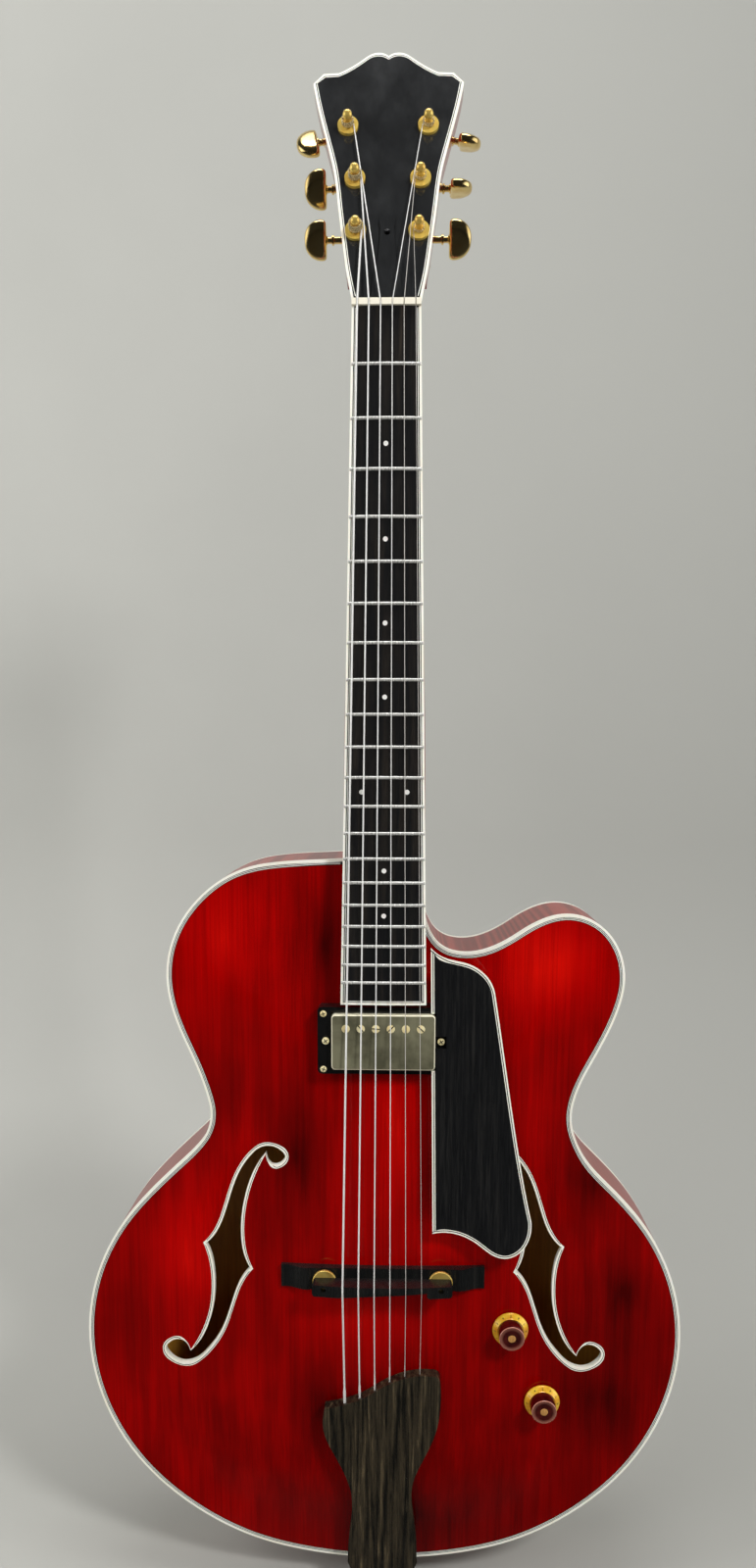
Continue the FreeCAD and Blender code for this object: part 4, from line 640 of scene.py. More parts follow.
@dataclass(frozen=True)
class BlackGloss(Finish):
    """Black lacquer or plastic with polishing haze and a few specks."""

    black: tuple = (0.010, 0.0105, 0.011)
    grey: tuple = (0.022, 0.0225, 0.023)
    gloss: float = 0.07
    coat: float = 1.0

    def mix(self, recipe: Recipe) -> Material:
        """Mix slow haze into colour and gloss."""
        haze = recipe.noise((60.0, 60.0, 40.0), 4.0, 0.6)
        specks = recipe.noise(900.0, 1.0)
        tone = recipe.ramp(haze, (0.3, self.black), (0.75, self.grey))
        rough = recipe.span(haze, self.gloss, self.gloss + 0.10, 0.35, 0.75)
        return recipe.done(Base_Color=tone, Roughness=rough, Coat_Weight=self.coat,
                           Coat_Roughness=0.03, Normal=recipe.bump(specks, 0.008, 0.2))


@dataclass(frozen=True)
class Metal(Finish):
    """Plated or bare metal with smears, and dull patches where it is worn."""

    colour: tuple = (0.98, 0.76, 0.33)
    worn: tuple = (0.84, 0.58, 0.22)
    gloss: float = 0.13
    patch_scale: float = 130.0
    metal: float = 1.0
    # A pale colour for edges turned from the front, a painted highlight; none by default
    rim: tuple = ()

    def mix(self, recipe: Recipe) -> Material:
        """Mix worn patches into colour and fine smears into gloss; edges turned from the front may take a
        painted highlight.
        """
        patches = recipe.noise(self.patch_scale, 4.0, 0.6)
        smears = recipe.noise((700.0, 250.0, 250.0), 3.0)
        tone = recipe.ramp(patches, (0.35, self.worn), (0.6, self.colour))
        metal: object = self.metal
        # Painted highlight: edges turned from the front take the pale rim colour and little metal
        if self.rim:
            turned = recipe.facing("Y")
            tone = recipe.mix(recipe.span(turned, 0.0, 1.0, -0.99, -0.85), tone, self.rim)
            metal = recipe.span(turned, self.metal, 0.05, -0.99, -0.85)
        rough = recipe.span(recipe.mix(0.5, patches, smears), self.gloss + 0.14, self.gloss, 0.3, 0.65)
        return recipe.done(Base_Color=tone, Metallic=metal, Roughness=rough,
                           Normal=recipe.bump(smears, 0.004, 0.25))


@dataclass(frozen=True)
class StringWire(Finish):
    """Steel string. A wound one has a fine ridge for each turn of its wrap."""

    colour: tuple = (0.97, 0.96, 0.93)
    wrap_pitch_mm: float = 0.0
    metal: float = 0.12
    dim_share: float = 0.88

    def mix(self, recipe: Recipe) -> Material:
        """Follow the string's own map: its first axis runs along the string in metres."""
        smears = recipe.noise((900.0, 900.0, 40.0), 2.0)
        dim = tuple(self.dim_share * part for part in self.colour)
        tone = recipe.ramp(smears, (0.3, dim), (0.6, self.colour))
        rough = recipe.span(smears, 0.34, 0.2)
        if not self.wrap_pitch_mm:
            return recipe.done(Base_Color=tone, Metallic=self.metal, Roughness=rough)
        along = 1.0 / (self.wrap_pitch_mm * MM)
        ridges = recipe.bands(recipe.place((along, 1.0, 1.0), source="UV"), 0.0, 0.0, "X")
        return recipe.done(Base_Color=tone, Metallic=self.metal, Roughness=rough,
                           Normal=recipe.bump(ridges, 0.06, 0.8))


@dataclass(frozen=True)
class Pearl(Finish):
    """White shell with a cloudy sheen of pink and green."""

    green: tuple = (0.70, 0.74, 0.68)
    white: tuple = (0.86, 0.85, 0.81)
    pink: tuple = (0.80, 0.71, 0.70)

    def mix(self, recipe: Recipe) -> Material:
        """Mix three pale tints in soft bands."""
        swirl = recipe.noise((420.0, 420.0, 260.0), 2.0, 0.5, 1.4)
        tone = recipe.ramp(swirl, (0.3, self.green), (0.5, self.white), (0.7, self.pink))
        rough = recipe.span(swirl, 0.12, 0.26)
        return recipe.done(Base_Color=tone, Roughness=rough, Coat_Weight=0.6, Coat_Roughness=0.05)


@dataclass(frozen=True)
class AmberSkirt(Finish):
    """Gold paint behind clear amber plastic."""

    gold: tuple = (0.98, 0.62, 0.045)
    rust: tuple = (0.85, 0.33, 0.015)

    def mix(self, recipe: Recipe) -> Material:
        """Mix cloudy gold and rust under a clear coat."""
        clouds = recipe.noise(160.0, 3.0, 0.6)
        flakes = recipe.noise(2500.0, 1.0)
        tone = recipe.ramp(clouds, (0.3, self.rust), (0.6, self.gold))
        rough = recipe.span(flakes, 0.28, 0.5)
        return recipe.done(Base_Color=tone, Metallic=0.3, Roughness=rough, Coat_Weight=1.0,
                           Coat_Roughness=0.04, Normal=recipe.bump(flakes, 0.01, 0.3))


@dataclass(frozen=True)
class AmberTop(Finish):
    """The deep, nearly brown-red look through the full height of clear amber plastic."""

    deep: tuple = (0.022, 0.0015, 0.002)
    lit: tuple = (0.085, 0.007, 0.005)
    # The pale colour of the turned rim, a painted highlight
    rim: tuple = (0.62, 0.26, 0.18)

    def mix(self, recipe: Recipe) -> Material:
        """Mix a slow change of depth under a clear coat; the turned rim is painted pale, a painted highlight.
        """
        depth = recipe.noise(120.0, 2.0)
        tone = recipe.ramp(depth, (0.35, self.deep), (0.75, self.lit))
        turned = recipe.facing("Y")
        # Painted highlight: a band of faces turned from the front takes the pale rim colour
        rim = recipe.math("MULTIPLY", recipe.span(turned, 0.0, 1.0, -0.97, -0.9),
                          recipe.span(turned, 1.0, 0.0, -0.5, -0.35))
        tone = recipe.mix(rim, tone, self.rim)
        rough = recipe.span(depth, 0.12, 0.2)
        return recipe.done(Base_Color=tone, Roughness=rough, Coat_Weight=1.0, Coat_Roughness=0.03)


@dataclass(frozen=True)
class Backdrop(Finish):
    """Plain pale grey paper."""

    pale: tuple = (0.52, 0.52, 0.485)
    shaded: tuple = (0.36, 0.36, 0.335)
    unlit: tuple = (0.02, 0.02, 0.02)
    dim_share: float = 0.94

    def mix(self, recipe: Recipe) -> Material:
        """Mix a very faint mottle; gloss sees the floor in front dark, and from behind the paper is clear."""
        mottle = recipe.noise(3.0, 3.0)
        dim = tuple(self.dim_share * part for part in self.pale)
        tone = recipe.ramp(mottle, (0.3, dim), (0.7, self.pale))
        place = recipe.add("SeparateXYZ", {"Vector": recipe.place((1.0, 1.0, 1.0))})
        side = recipe.span(place.outputs["X"], 0.0, 1.0, -0.5, 0.6)
        tone = recipe.mix(side, tone, self.shaded)
        front = recipe.span(place.outputs["Y"], 1.0, 0.0, -0.1, 0.4)
        mirrored_ray = recipe.add("LightPath", {}).outputs["Is Glossy Ray"]
        share = recipe.math("MULTIPLY", front, mirrored_ray)
        behind = recipe.add("NewGeometry", {}).outputs["Backfacing"]
        clear = recipe.add("BsdfTransparent", {}).outputs["BSDF"]
        shown = recipe.add("MixShader", {0: behind, 1: recipe.shader.outputs["BSDF"], 2: clear})
        recipe.fill(recipe.tree.nodes["Material Output"], {"Surface": shown.outputs["Shader"]})
        return recipe.done(Base_Color=recipe.mix(share, tone, self.unlit), Roughness=0.85,
                           Specular_IOR_Level=0.0)


TOP_WOOD = StainedSpruce("red spruce top")
BACK_WOOD = FlamedMaple("red maple back", raw_side="Y", tilt=0.06)
SIDE_WOOD = FlamedMaple("red maple sides", light=(0.34, 0.050, 0.035), dark=(0.20, 0.024, 0.017),
                        stripes=(150.0, 4.0, 150.0), coat=0.3)
NECK_WOOD = FlamedMaple("red maple neck", stripes=(6.0, 6.0, 420.0))
BARE_WOOD = RawWood("bare spruce")
BOARD_EBONY = Ebony("ebony board", streak_start=0.66)
GUARD_EBONY = Ebony("ebony pickguard", black=(0.0075, 0.0078, 0.0085), brown=(0.045, 0.042, 0.038),
                    streak_start=0.66, streak_end=0.92, gloss=0.3, grain_scale=(520.0, 200.0, 14.0))
BRIDGE_EBONY = Ebony("ebony bridge", black=(0.0085, 0.009, 0.009), brown=(0.026, 0.024, 0.021), gloss=0.22)
STREAKED_EBONY = Ebony("streaked ebony", black=(0.0085, 0.0078, 0.006), brown=(0.19, 0.14, 0.075),
                       streak_start=0.60, streak_end=0.76, gloss=0.26, grain_scale=(330.0, 160.0, 5.0))
IVORY = Ivory("ivory binding")
WHITE_LINE = Ivory("white line", pale=(0.93, 0.91, 0.84), warm=(0.86, 0.82, 0.72))
BONE = Ivory("bone", pale=(0.93, 0.90, 0.78), warm=(0.86, 0.80, 0.64), gloss=0.32)
BLACK_LINE = BlackGloss("black line", black=(0.006, 0.006, 0.006), grey=(0.012, 0.012, 0.012),
                        coat=0.0, gloss=0.3)
BLACK_LACQUER = BlackGloss("black lacquer", black=(0.014, 0.0145, 0.015), grey=(0.024, 0.025, 0.026),
                           coat=0.6)
BLACK_PLASTIC = BlackGloss("black plastic", black=(0.004, 0.004, 0.004), grey=(0.008, 0.008, 0.008),
                           coat=0.0, gloss=0.2)
BLACK_SCREW = Metal("black screw", colour=(0.035, 0.035, 0.037), worn=(0.02, 0.02, 0.02), gloss=0.25)
GOLD = Metal("gold plate")
BRIGHT_GOLD = Metal("bright gold", colour=(1.0, 0.90, 0.55), worn=(0.92, 0.74, 0.36), metal=0.2)
WASHER_GOLD = Metal("gold washers", colour=(1.0, 0.74, 0.17), worn=(0.94, 0.60, 0.11), metal=0.5)
POST_GOLD = Metal("gold posts", colour=(1.0, 0.74, 0.20), worn=(0.92, 0.58, 0.13), metal=0.65)
# The cover's pale rim is a painted highlight on its rounded edges
AGED_GOLD = Metal("aged gold cover", colour=(0.44, 0.42, 0.27), worn=(0.20, 0.19, 0.12), gloss=0.08,
                  patch_scale=38.0, metal=0.6, rim=(0.95, 0.90, 0.68))
NICKEL = Metal("nickel silver frets", colour=(0.86, 0.85, 0.81), worn=(0.70, 0.69, 0.65), gloss=0.2,
               metal=0.5)
STEEL = Metal("bare steel", colour=(0.60, 0.60, 0.60), worn=(0.45, 0.44, 0.43), gloss=0.3)
PLAIN_WIRE = StringWire("plain string", colour=(0.60, 0.57, 0.53))
WRAPPED_WIRE = StringWire("string on its post", colour=(0.78, 0.64, 0.36), wrap_pitch_mm=0.36, metal=0.85)
PEARL = Pearl("pearl dots")
AMBER_SKIRT = AmberSkirt("amber skirt")
AMBER_TOP = AmberTop("amber top")
COPPER = Metal("copper shaft end", colour=(0.80, 0.42, 0.13), worn=(0.62, 0.30, 0.09), gloss=0.22, metal=0.4)
PAPER = Backdrop("grey paper")


# Shared details

class Slot(Enum):
    """The recess in a screw's head."""

    STRAIGHT = "straight"
    CROSS = "cross"


@dataclass
class ScrewHead:
    """A domed screw head with a cut recess, drawn standing on h = 0."""

    radius: float
    rise: float
    sunk: float = 0.3
    slot: Slot = Slot.CROSS
    slot_width: float = 0.5
    slot_depth: float = 0.5

    # The lip of the recess, also the least that is left under its floor
    lip = 0.02

    # The rim as a share of the rise, and reaches of the recess and its floor as shares of the radius
    rim_share = 0.25
    cross_share = 0.72
    straight_floor = 0.95
    cross_floor = 0.68

    # The strip of painted shade that darkens the floor
    strip_share = 0.9
    strip_deep = 0.1

    def grid(self, turn: float) -> tuple:
        """Return x, h and z of the head as a closed tube of cross cuts.

        Each row is a cut at one distance t from the middle: over the dome from one side to the other,
        h = rise * (1 - (t^2 + s^2) / R^2) on a low rim, lowered inside the recess, and back along the
        flat foot.

        Args:
            turn: the recess's turn about the head's axis, in degrees.

        Returns:
            Three arrays, rows by columns.
        """
        half = self.slot_width / 2
        outer = np.linspace(0.75 * half + 0.25 * self.radius, self.radius, 6)
        side = np.concatenate([[half, half + self.lip], outer])
        marks = np.concatenate([-side[::-1], side])
        chord = np.sqrt(np.maximum(self.radius ** 2 - marks ** 2, 0.0))
        s = np.clip(marks[None], -chord[:, None], chord[:, None])
        t = np.broadcast_to(marks[:, None], s.shape)
        top = self.rise * (1 - (s ** 2 + t ** 2) / self.radius ** 2) + self.rim_share * self.rise
        reach = self.cross_share * self.radius
        inside = half + self.lip / 2
        cut = (np.abs(t) < inside) & ((np.abs(s) < reach) | (self.slot is Slot.STRAIGHT))
        if self.slot is Slot.CROSS:
            cut |= (np.abs(s) < inside) & (np.abs(t) < reach)
        top = np.where(cut, np.maximum(top - self.slot_depth, -self.sunk + self.lip), top)
        s = np.concatenate([s, s[:, ::-1]], 1)
        t = np.concatenate([t, t], 1)
        h = np.concatenate([top, np.full_like(top, -self.sunk)], 1)
        angle = math.radians(turn)
        return (s * math.cos(angle) - t * math.sin(angle), h, s * math.sin(angle) + t * math.cos(angle))

    def add_to(self, shell: Shell, drawing: Drawing, x: float, h: float, z: float, turn: float) -> None:
        """Add the head to a shell at a place of a drawing."""
        gx, gh, gz = self.grid(turn)
        shell.add(drawing.place(gx + x, gh + h, gz + z), round_columns=True)

    def darken(self, shell: Shell, drawing: Drawing, x: float, h: float, z: float, turn: float) -> None:
        """Add painted shade on the floor of the recess to a shell, as one thin dark strip or two crossed
        ones.
        """
        straight = self.slot is Slot.STRAIGHT
        floor = h + (1 + self.rim_share) * self.rise - self.slot_depth
        reach = self.radius * (self.straight_floor if straight else self.cross_floor)
        ends = np.array([-reach, reach])
        for way in np.radians((turn,) if straight else (turn, turn + 90.0)):
            path = drawing.place(x + ends * math.cos(way), floor, z + ends * math.sin(way))
            strip = InlaidLine(self.strip_share * self.slot_width, deep=self.strip_deep)
            strip.add_to(shell, path, drawing.front())


@dataclass
class InlaidLine:
    """A thin strip let into a face, standing just proud of it."""

    width: float
    proud: float = 0.04
    deep: float = 0.35

    def add_to(self, shell: Shell, path: np.ndarray, up: np.ndarray) -> None:
        """Add the strip along a path of points in metres: a flat section carried along it."""
        half = self.width / 2 * MM
        across = np.array([-half, half, half, -half])
        rise = np.array([-self.deep, -self.deep, self.proud, self.proud]) * MM
        grid = swept(path, up, across, rise)
        ends = [grid[:1].mean(1, keepdims=True), grid[-1:].mean(1, keepdims=True)]
        closed = [np.broadcast_to(end, (1, 4, 3)) for end in ends]
        shell.add(np.concatenate([closed[0], grid, closed[1]]), round_columns=True)

    def lay(self, name: str, finish: Finish, slot: str, *runs: tuple) -> None:
        """Make one piece of strips that stay with the guitar.

        Args:
            name: the piece's name.
            finish: its finish.
            slot: the record's material slot.
            runs: a path in metres and its way up, for each strip.
        """
        shell = Shell()
        for path, up in runs:
            self.add_to(shell, path, up)
        settle(shell.piece(name, finish.material()), "guitar", slot)


def mesh_points(mesh: bpy.types.Mesh) -> np.ndarray:
    """Return a mesh's points, one in each row."""
    flat = np.zeros(len(mesh.vertices) * 3, np.float32)
    mesh.vertices.foreach_get("co", flat)
    return flat.reshape(-1, 3)


def surface_points(node: str, x: np.ndarray, z: np.ndarray) -> np.ndarray:
    """Return where places (x, z) of the body drawing meet a solid's front.

    Args:
        node: the solid's name.
        x: across, in millimetres.
        z: up the neck from the joint.

    Returns:
        Points in metres.
    """
    mesh = NODES[node].data
    faces = [tuple(face.vertices) for face in mesh.polygons]
    tree = BVHTree.FromPolygons(mesh_points(mesh).tolist(), faces)
    starts = Drawing.BODY.place(x, CLEAR_OF_FRONT, z)
    hits = [tree.ray_cast(Vector(start), Vector((0.0, 1.0, 0.0)))[0] for start in starts]
    return np.array([hit for hit in hits if hit is not None])


# The body

@dataclass
class Body:
    """The sound box: top, back, sides and all that edges them."""

    half_bout: float = 214.5
    length: float = 526.5
    binding: float = 1.7
    purfling: float = 2.2
    white_width: float = 0.42
    white_shares: tuple = (0.29, 0.71)
    f_line_inset: float = 0.75
    f_line_width: float = 0.42
    f_line_proud: float = 0.06

    # Outline as shares of half the lower bout and of the length
    lower_side = [(0.240, 0.992), (0.444, 0.971), (0.647, 0.927), (0.844, 0.851), (0.965, 0.756),
                  (1.000, 0.655), (0.963, 0.574), (0.876, 0.504), (0.753, 0.446)]
    bass_side = [(0.140, 0.0034), (0.287, 0.0065), (0.475, 0.021), (0.602, 0.058), (0.684, 0.112),
                 (0.704, 0.1605), (0.675, 0.221), (0.614, 0.281), (0.584, 0.316), (0.570, 0.348),
                 (0.5865, 0.374), (0.620, 0.393), (0.687, 0.420)]
    treble_side = [(0.674, 0.411), (0.640, 0.387), (0.615, 0.351), (0.634, 0.3086), (0.694, 0.2575),
                   (0.7525, 0.203), (0.7725, 0.160), (0.745, 0.1147), (0.681, 0.086), (0.5865, 0.0745),
                   (0.494, 0.0838), (0.371, 0.1136), (0.261, 0.1254), (0.183, 0.116), (0.147, 0.097),
                   (0.1305, 0.072)]

    # One f-hole: four runs between its two cusps and two points
    f_corners = [(82.9, -209.5), (128.4, -276.0), (138.8, -357.0), (92.1, -292.6)]
    f_runs = [
        [(74.1, -219.0), (66.4, -210.6), (79.4, -200.9), (95.7, -209.9), (105.3, -225.0), (112.0, -244.0),
         (119.0, -263.5)],
        [(124.6, -286.5), (122.4, -303.5), (123.8, -322.0), (129.5, -340.5)],
        [(150.4, -347.8), (159.7, -357.4), (145.7, -370.2), (125.0, -358.5), (113.5, -341.0), (106.0, -320.0),
         (101.0, -306.0)],
        [(97.1, -279.0), (98.5, -264.0), (97.3, -249.4), (92.8, -231.2)]]

    def outline(self, inset: float) -> np.ndarray:
        """Return (x, z) pairs round the body from the bass side of the neck to the cutaway."""
        left = [(-x, z) for x, z in self.bass_side + self.lower_side[::-1]]
        shares = np.array(left + [(0.0, 1.0)] + self.lower_side + self.treble_side)
        return offset_run(spline_run(shares * (self.half_bout, -self.length), per=10), inset)

    def edge_lines(self) -> None:
        """Lay two white lines into the black purfling of the top."""
        runs = [self.outline(self.binding + share * self.purfling) for share in self.white_shares]
        paths = [Drawing.BODY.place(run[:, 0], 0.0, run[:, 1]) for run in runs]
        InlaidLine(self.white_width).lay("purfling_lines", WHITE_LINE, "ivory_binding",
                                         *((path, Drawing.BODY.front()) for path in paths))

    def f_hole_lines(self) -> None:
        """Lay a black line into the ivory round each f-hole, on the carved face, short of its corners."""
        runs = []
        for side in (-1, 1):
            for index, run in enumerate(self.f_runs):
                keys = [self.f_corners[index]] + run + [self.f_corners[(index + 1) % 4]]
                path = spline_run(np.array(keys) * (side, 1), per=10)
                path = offset_run(path, -side * self.f_line_inset)[2:-2]
                points = surface_points("f_hole_bindings", path[:, 0], path[:, 1])
                runs.append((points, Drawing.BODY.front()))
        InlaidLine(self.f_line_width, self.f_line_proud).lay("f_hole_lines", BLACK_LINE, "purfling", *runs)

    def build(self) -> None:
        """Dress the solids and add the fine lines."""
        dress(TOP_WOOD, "top_plate")
        dress(BACK_WOOD, "back_plate")
        dress(SIDE_WOOD, "bass_side", "treble_side")
        dress(IVORY, "top_binding", "back_binding", "f_hole_bindings")
        dress(BLACK_LINE, "top_purfling")
        dress(BARE_WOOD, "linings", "tone_bars", "neck_block", "tail_block")
        self.edge_lines()
        self.f_hole_lines()


# The neck and fingerboard

@dataclass
class Neck:
    """Neck, fingerboard, frets, nut and the truss rod."""

    nut_width: float = 44.45
    end_width: float = 57.6
    board_length: float = 450.0
    binding: float = 1.6
    line_width: float = 0.5
    line_gap: float = 0.8
    line_start: float = 1.0
    fret_count: int = 20
    fret_width: float = 2.1
    fret_height: float = 1.0
    fret_inset: float = 0.35
    fret_bevel: float = 1.3
    fret_foot: float = 0.45
    foot_share: float = 0.8
    end_share: float = 0.85

    def half_width(self, along: np.ndarray) -> np.ndarray:
        """Return half the fingerboard's width at distances from the nut."""
        return (self.nut_width + (self.end_width - self.nut_width) * along / self.board_length) / 2

    def frets(self) -> None:
        """Make rounded fret wires: a half-round crown carried across the board's curve.

        At x across and w along the wire's width, h = height * sqrt(1 - (2 w / width)^2) over the
        board's face, and the crown falls away over the bevel at both ends.
        """
        shell = Shell()
        turn = np.linspace(0.0, math.pi, 11)
        crown_w = np.cos(turn) * self.fret_width / 2
        crown_h = np.sin(turn)
        foot_w = crown_w[::-1][1:-1] * self.foot_share
        loop_w = np.concatenate([crown_w, foot_w])
        loop_h = np.concatenate([crown_h, np.full(len(foot_w), -self.fret_foot)])
        for number in range(1, self.fret_count + 1):
            along = SCALE_LENGTH * (1 - 2 ** (-number / 12))
            half = self.half_width(along) - self.fret_inset
            x = half * np.concatenate([[-1.0], np.linspace(-1.0, 1.0, 41), [1.0]])
            left = np.clip((half - np.abs(x)) / self.fret_bevel, 0.0, 1.0)
            rise = self.fret_height * np.sqrt(1 - (1 - left) ** 2 * self.end_share)
            thin = np.where(np.arange(len(x)) % (len(x) - 1) == 0, 0.0, 1.0)
            up = np.where(loop_h > 0, loop_h * rise[:, None], loop_h) * thin[:, None]
            h = up - board_drop(x)[:, None]
            z = -along + loop_w * thin[:, None]
            shell.add(Drawing.NECK.place(x[:, None], h, z), round_columns=True)
        settle(shell.piece("fret_wires", NICKEL.material(), sharp=60.0), "guitar", "nickel_silver", "frets")

    def board_lines(self) -> None:
        """Lay a thin white line inside the fingerboard's binding, along both sides and the end."""
        inset = self.binding + self.line_gap
        along = np.linspace(self.line_start, self.board_length - inset, 30)
        half = self.half_width(along) - inset
        end_x = np.linspace(half[-1], -half[-1], 25)[1:-1]
        x = np.concatenate([half, end_x, -half[::-1]])
        z = -np.concatenate([along, np.full(len(end_x), along[-1]), along[::-1]])
        path = Drawing.NECK.place(x, -board_drop(x), z)
        up = Drawing.NECK.place(x / BOARD_RADIUS, 1.0, 0.0 * x) / MM
        InlaidLine(self.line_width).lay("fingerboard_line", WHITE_LINE, "ivory_binding", (path, up))

    def build(self) -> None:
        """Dress the solids and add wires and lines."""
        dress(NECK_WOOD, "neck")
        dress(BOARD_EBONY, "fingerboard")
        dress(IVORY, "fingerboard_binding")
        dress(PEARL, "position_dots")
        dress(BONE, "nut")
        dress(STEEL, "truss_rod")
        self.frets()
        self.board_lines()


# The headstock and tuners

@dataclass
class Headstock:
    """Headstock faces, the truss rod cover and six tuners."""

    line_inset: float = 2.4
    line_width: float = 0.55
    ear_share: float = 0.4
    head_back: float = -17.5
    shaft_depth: float = 5.0
    worm_offset: float = 8.8
    worm_overlap: float = 5.0
    shaft_radius: float = 2.2
    washer_thick: float = 2.0
    post_tip: float = 10.5
    post_radius: float = 3.0
    post_foot: float = 7.5
    waist_radius: float = 2.1
    ball_radius: float = 3.1
    button_root: float = 6.5
    button_heel: float = 3.6
    button_nose: float = 11.2
    button_half: float = 11.9
    button_swell: float = 3.6
    button_rim: float = 0.3
    button_round: float = 0.86
    cover_thick: float = 1.8
    cover_screw_z: float = 53.5
    cover_screw_turn: float = 25.0
    cover_screw = ScrewHead(radius=2.0, rise=0.7, slot_width=0.45)

    # The treble half of the outline, from the nut to the middle of the crown
    side = [(22.4, 9.0), (25.9, 25.5), (29.0, 48.0), (32.4, 76.0), (35.4, 100.0), (38.8, 115.0),
            (42.6, 130.3), (46.2, 145.5), (49.7, 163.8)]
    ear = (43.0, 171.0)
    crown = [(33.0, 171.5), (27.5, 174.3), (16.5, 181.9), (11.5, 185.4), (7.0, 186.5), (0.0, 184.0)]

    # String posts, and each key's reach, lean and turn, bass side from the nut first
    posts = [(-20.5, 55.4), (-21.4, 93.0), (-26.4, 131.6), (26.4, 131.6), (21.4, 93.0), (20.5, 55.4)]
    key_reach = [47.8, 48.4, 53.3, 53.3, 48.4, 47.8]
    key_lean = [0.0, 0.0, 10.0, 10.0, 0.0, 0.0]
    key_turn = [44.0, 44.0, -16.0, -60.0, -66.0, 44.0]

    # A key's two collars: radius, and distance outwards from the button's root
    collars = [(2.2, -6.0), (3.1, -5.6), (3.1, -4.4), (2.0, -4.0), (2.0, -1.6), (2.9, -0.8), (2.7, 1.5),
               (0.0, 1.5)]

    def edge_line(self) -> None:
        """Lay a thin white line inside the headstock's binding."""
        inset = self.line_inset
        side = offset_run(spline_run(self.side), inset)
        ear = np.array([[self.ear[0] - self.ear_share * inset, self.ear[1] - inset]])
        crown = spline_run(np.array(self.crown) - (0.0, inset))
        half = np.vstack([side, ear, crown])
        run = np.vstack([half, mirrored(half)[1:]])
        path = Drawing.HEAD.place(run[:, 0], -HEAD_DROP, run[:, 1])
        InlaidLine(self.line_width).lay("headstock_line", WHITE_LINE, "ivory_binding",
                                        (path, Drawing.HEAD.front()))

    def post(self, index: int) -> None:
        """Make one string post: a spun profile with a waist for the string and a ball for its tip.

        The ball's profile is r = R cos t, h = middle + R sin t.
        """
        x, z = self.posts[index]
        r, ball, waist = self.post_radius, self.ball_radius, self.waist_radius
        low = self.head_back - self.post_foot
        face = self.washer_thick - HEAD_DROP
        middle = face + self.post_tip - ball
        turn = np.linspace(-math.acos(waist / ball), math.pi / 2, 12)
        radii = np.concatenate([[0.0, r, r, waist], ball * np.cos(turn)])
        heights = np.concatenate([[low, low, face, face + r - waist], middle + ball * np.sin(turn)])
        shell = Shell().spin(Drawing.HEAD, (x, 0.0, z), np.stack([radii, heights], 1), 40)
        name = "tuner_post_%d" % (index + 1)
        settle(shell.piece(name + "_spun", POST_GOLD.material()), "post_%d" % (index + 1), "gold", name)

    def on_key(self, index: int, along: np.ndarray, h: np.ndarray, z: np.ndarray) -> np.ndarray:
        """Carry places about a key's shaft to the frame.

        The places are turned about the shaft, then leaned with it about the string's post.

        Args:
            index: which tuner, bass side from the nut first.
            along: distance from the neck's middle, outwards.
            h: height over the shaft's line.
            z: distance above the shaft's line.

        Returns:
            Points in metres.
        """
        post_x, post_z = self.posts[index]
        side = math.copysign(1.0, post_x)
        turn = math.radians(self.key_turn[index])
        lean = side * math.radians(self.key_lean[index])
        turned_h = h * math.cos(turn) + z * math.sin(turn)
        across = side * along - post_x
        up = z * math.cos(turn) - h * math.sin(turn) + self.worm_offset
        x = post_x + across * math.cos(lean) + up * math.sin(lean)
        z = post_z + up * math.cos(lean) - across * math.sin(lean)
        return Drawing.HEAD.place(x, self.head_back - self.shaft_depth + turned_h, z)

    def key(self, index: int) -> None:
        """Make one key: a spun shaft with two collars, and the button on its end."""
        reach = self.key_reach[index]
        start = abs(self.posts[index][0]) - self.worm_overlap
        root = reach - self.button_root
        profile = [(0.0, start), (self.shaft_radius, start)] + [(r, root + far) for r, far in self.collars]
        x, along, z = turned_grid(*np.transpose(profile), 32)
        shell = Shell().add(self.on_key(index, along, x, z), round_columns=True)
        shell.add(self.button(index), round_columns=True)
        name = "tuner_key_%d" % (index + 1)
        settle(shell.piece(name + "_spun", GOLD.material()), "key_%d" % (index + 1), "gold", name)

    def button(self, index: int) -> np.ndarray:
        """Return the grid of a key's half-moon button.

        Its outline runs round a half-moon, and its faces swell as (1 - s^5)^(1/2) from the rim, s = 1, to
        the middle, s = 0.
        """
        turn = np.linspace(0.0, 2 * math.pi, 64, endpoint=False)
        flat = -self.button_heel * (1 - (1 - np.abs(np.cos(turn))) ** 3)
        out = np.where(np.cos(turn) > 0, np.cos(turn) * self.button_nose, flat)
        wide = self.button_half * np.sign(np.sin(turn)) * np.abs(np.sin(turn)) ** self.button_round
        rim = np.array([0.955, 0.985, 1.0])
        s = np.concatenate([np.linspace(0.0, 0.9, 6), rim, rim[::-1], np.linspace(0.9, 0.0, 6)])
        thick = self.button_swell * np.sqrt(np.maximum(1 - s ** 5, 0.0)) + self.button_rim
        face = np.where(np.arange(len(s)) < len(s) / 2, 1.0, -1.0)
        middle = self.key_reach[index] - self.button_heel
        return self.on_key(index, middle + s[:, None] * out, (face * thick)[:, None] + 0 * turn,
                           s[:, None] * wide)

    def add_cover_screw(self) -> None:
        """Add the small black screw of the truss rod cover."""
        shell = Shell()
        high = self.cover_thick - HEAD_DROP
        self.cover_screw.add_to(shell, Drawing.HEAD, 0.0, high, self.cover_screw_z, self.cover_screw_turn)
        settle(shell.piece("truss_cover_screw", BLACK_SCREW.material()), "guitar", "black_lacquer")

    def build(self) -> None:
        """Dress the solids, then make posts, keys and small pieces."""
        dress(BLACK_LACQUER, "headstock_overlay", "truss_rod_cover")
        dress(IVORY, "headstock_binding")
        dress(WASHER_GOLD, "tuner_bushings")
        dress(GOLD, "tuner_housings")
        self.edge_line()
        self.add_cover_screw()
        for index in range(STRING_COUNT):
            self.post(index)
            self.key(index)


# The pickup

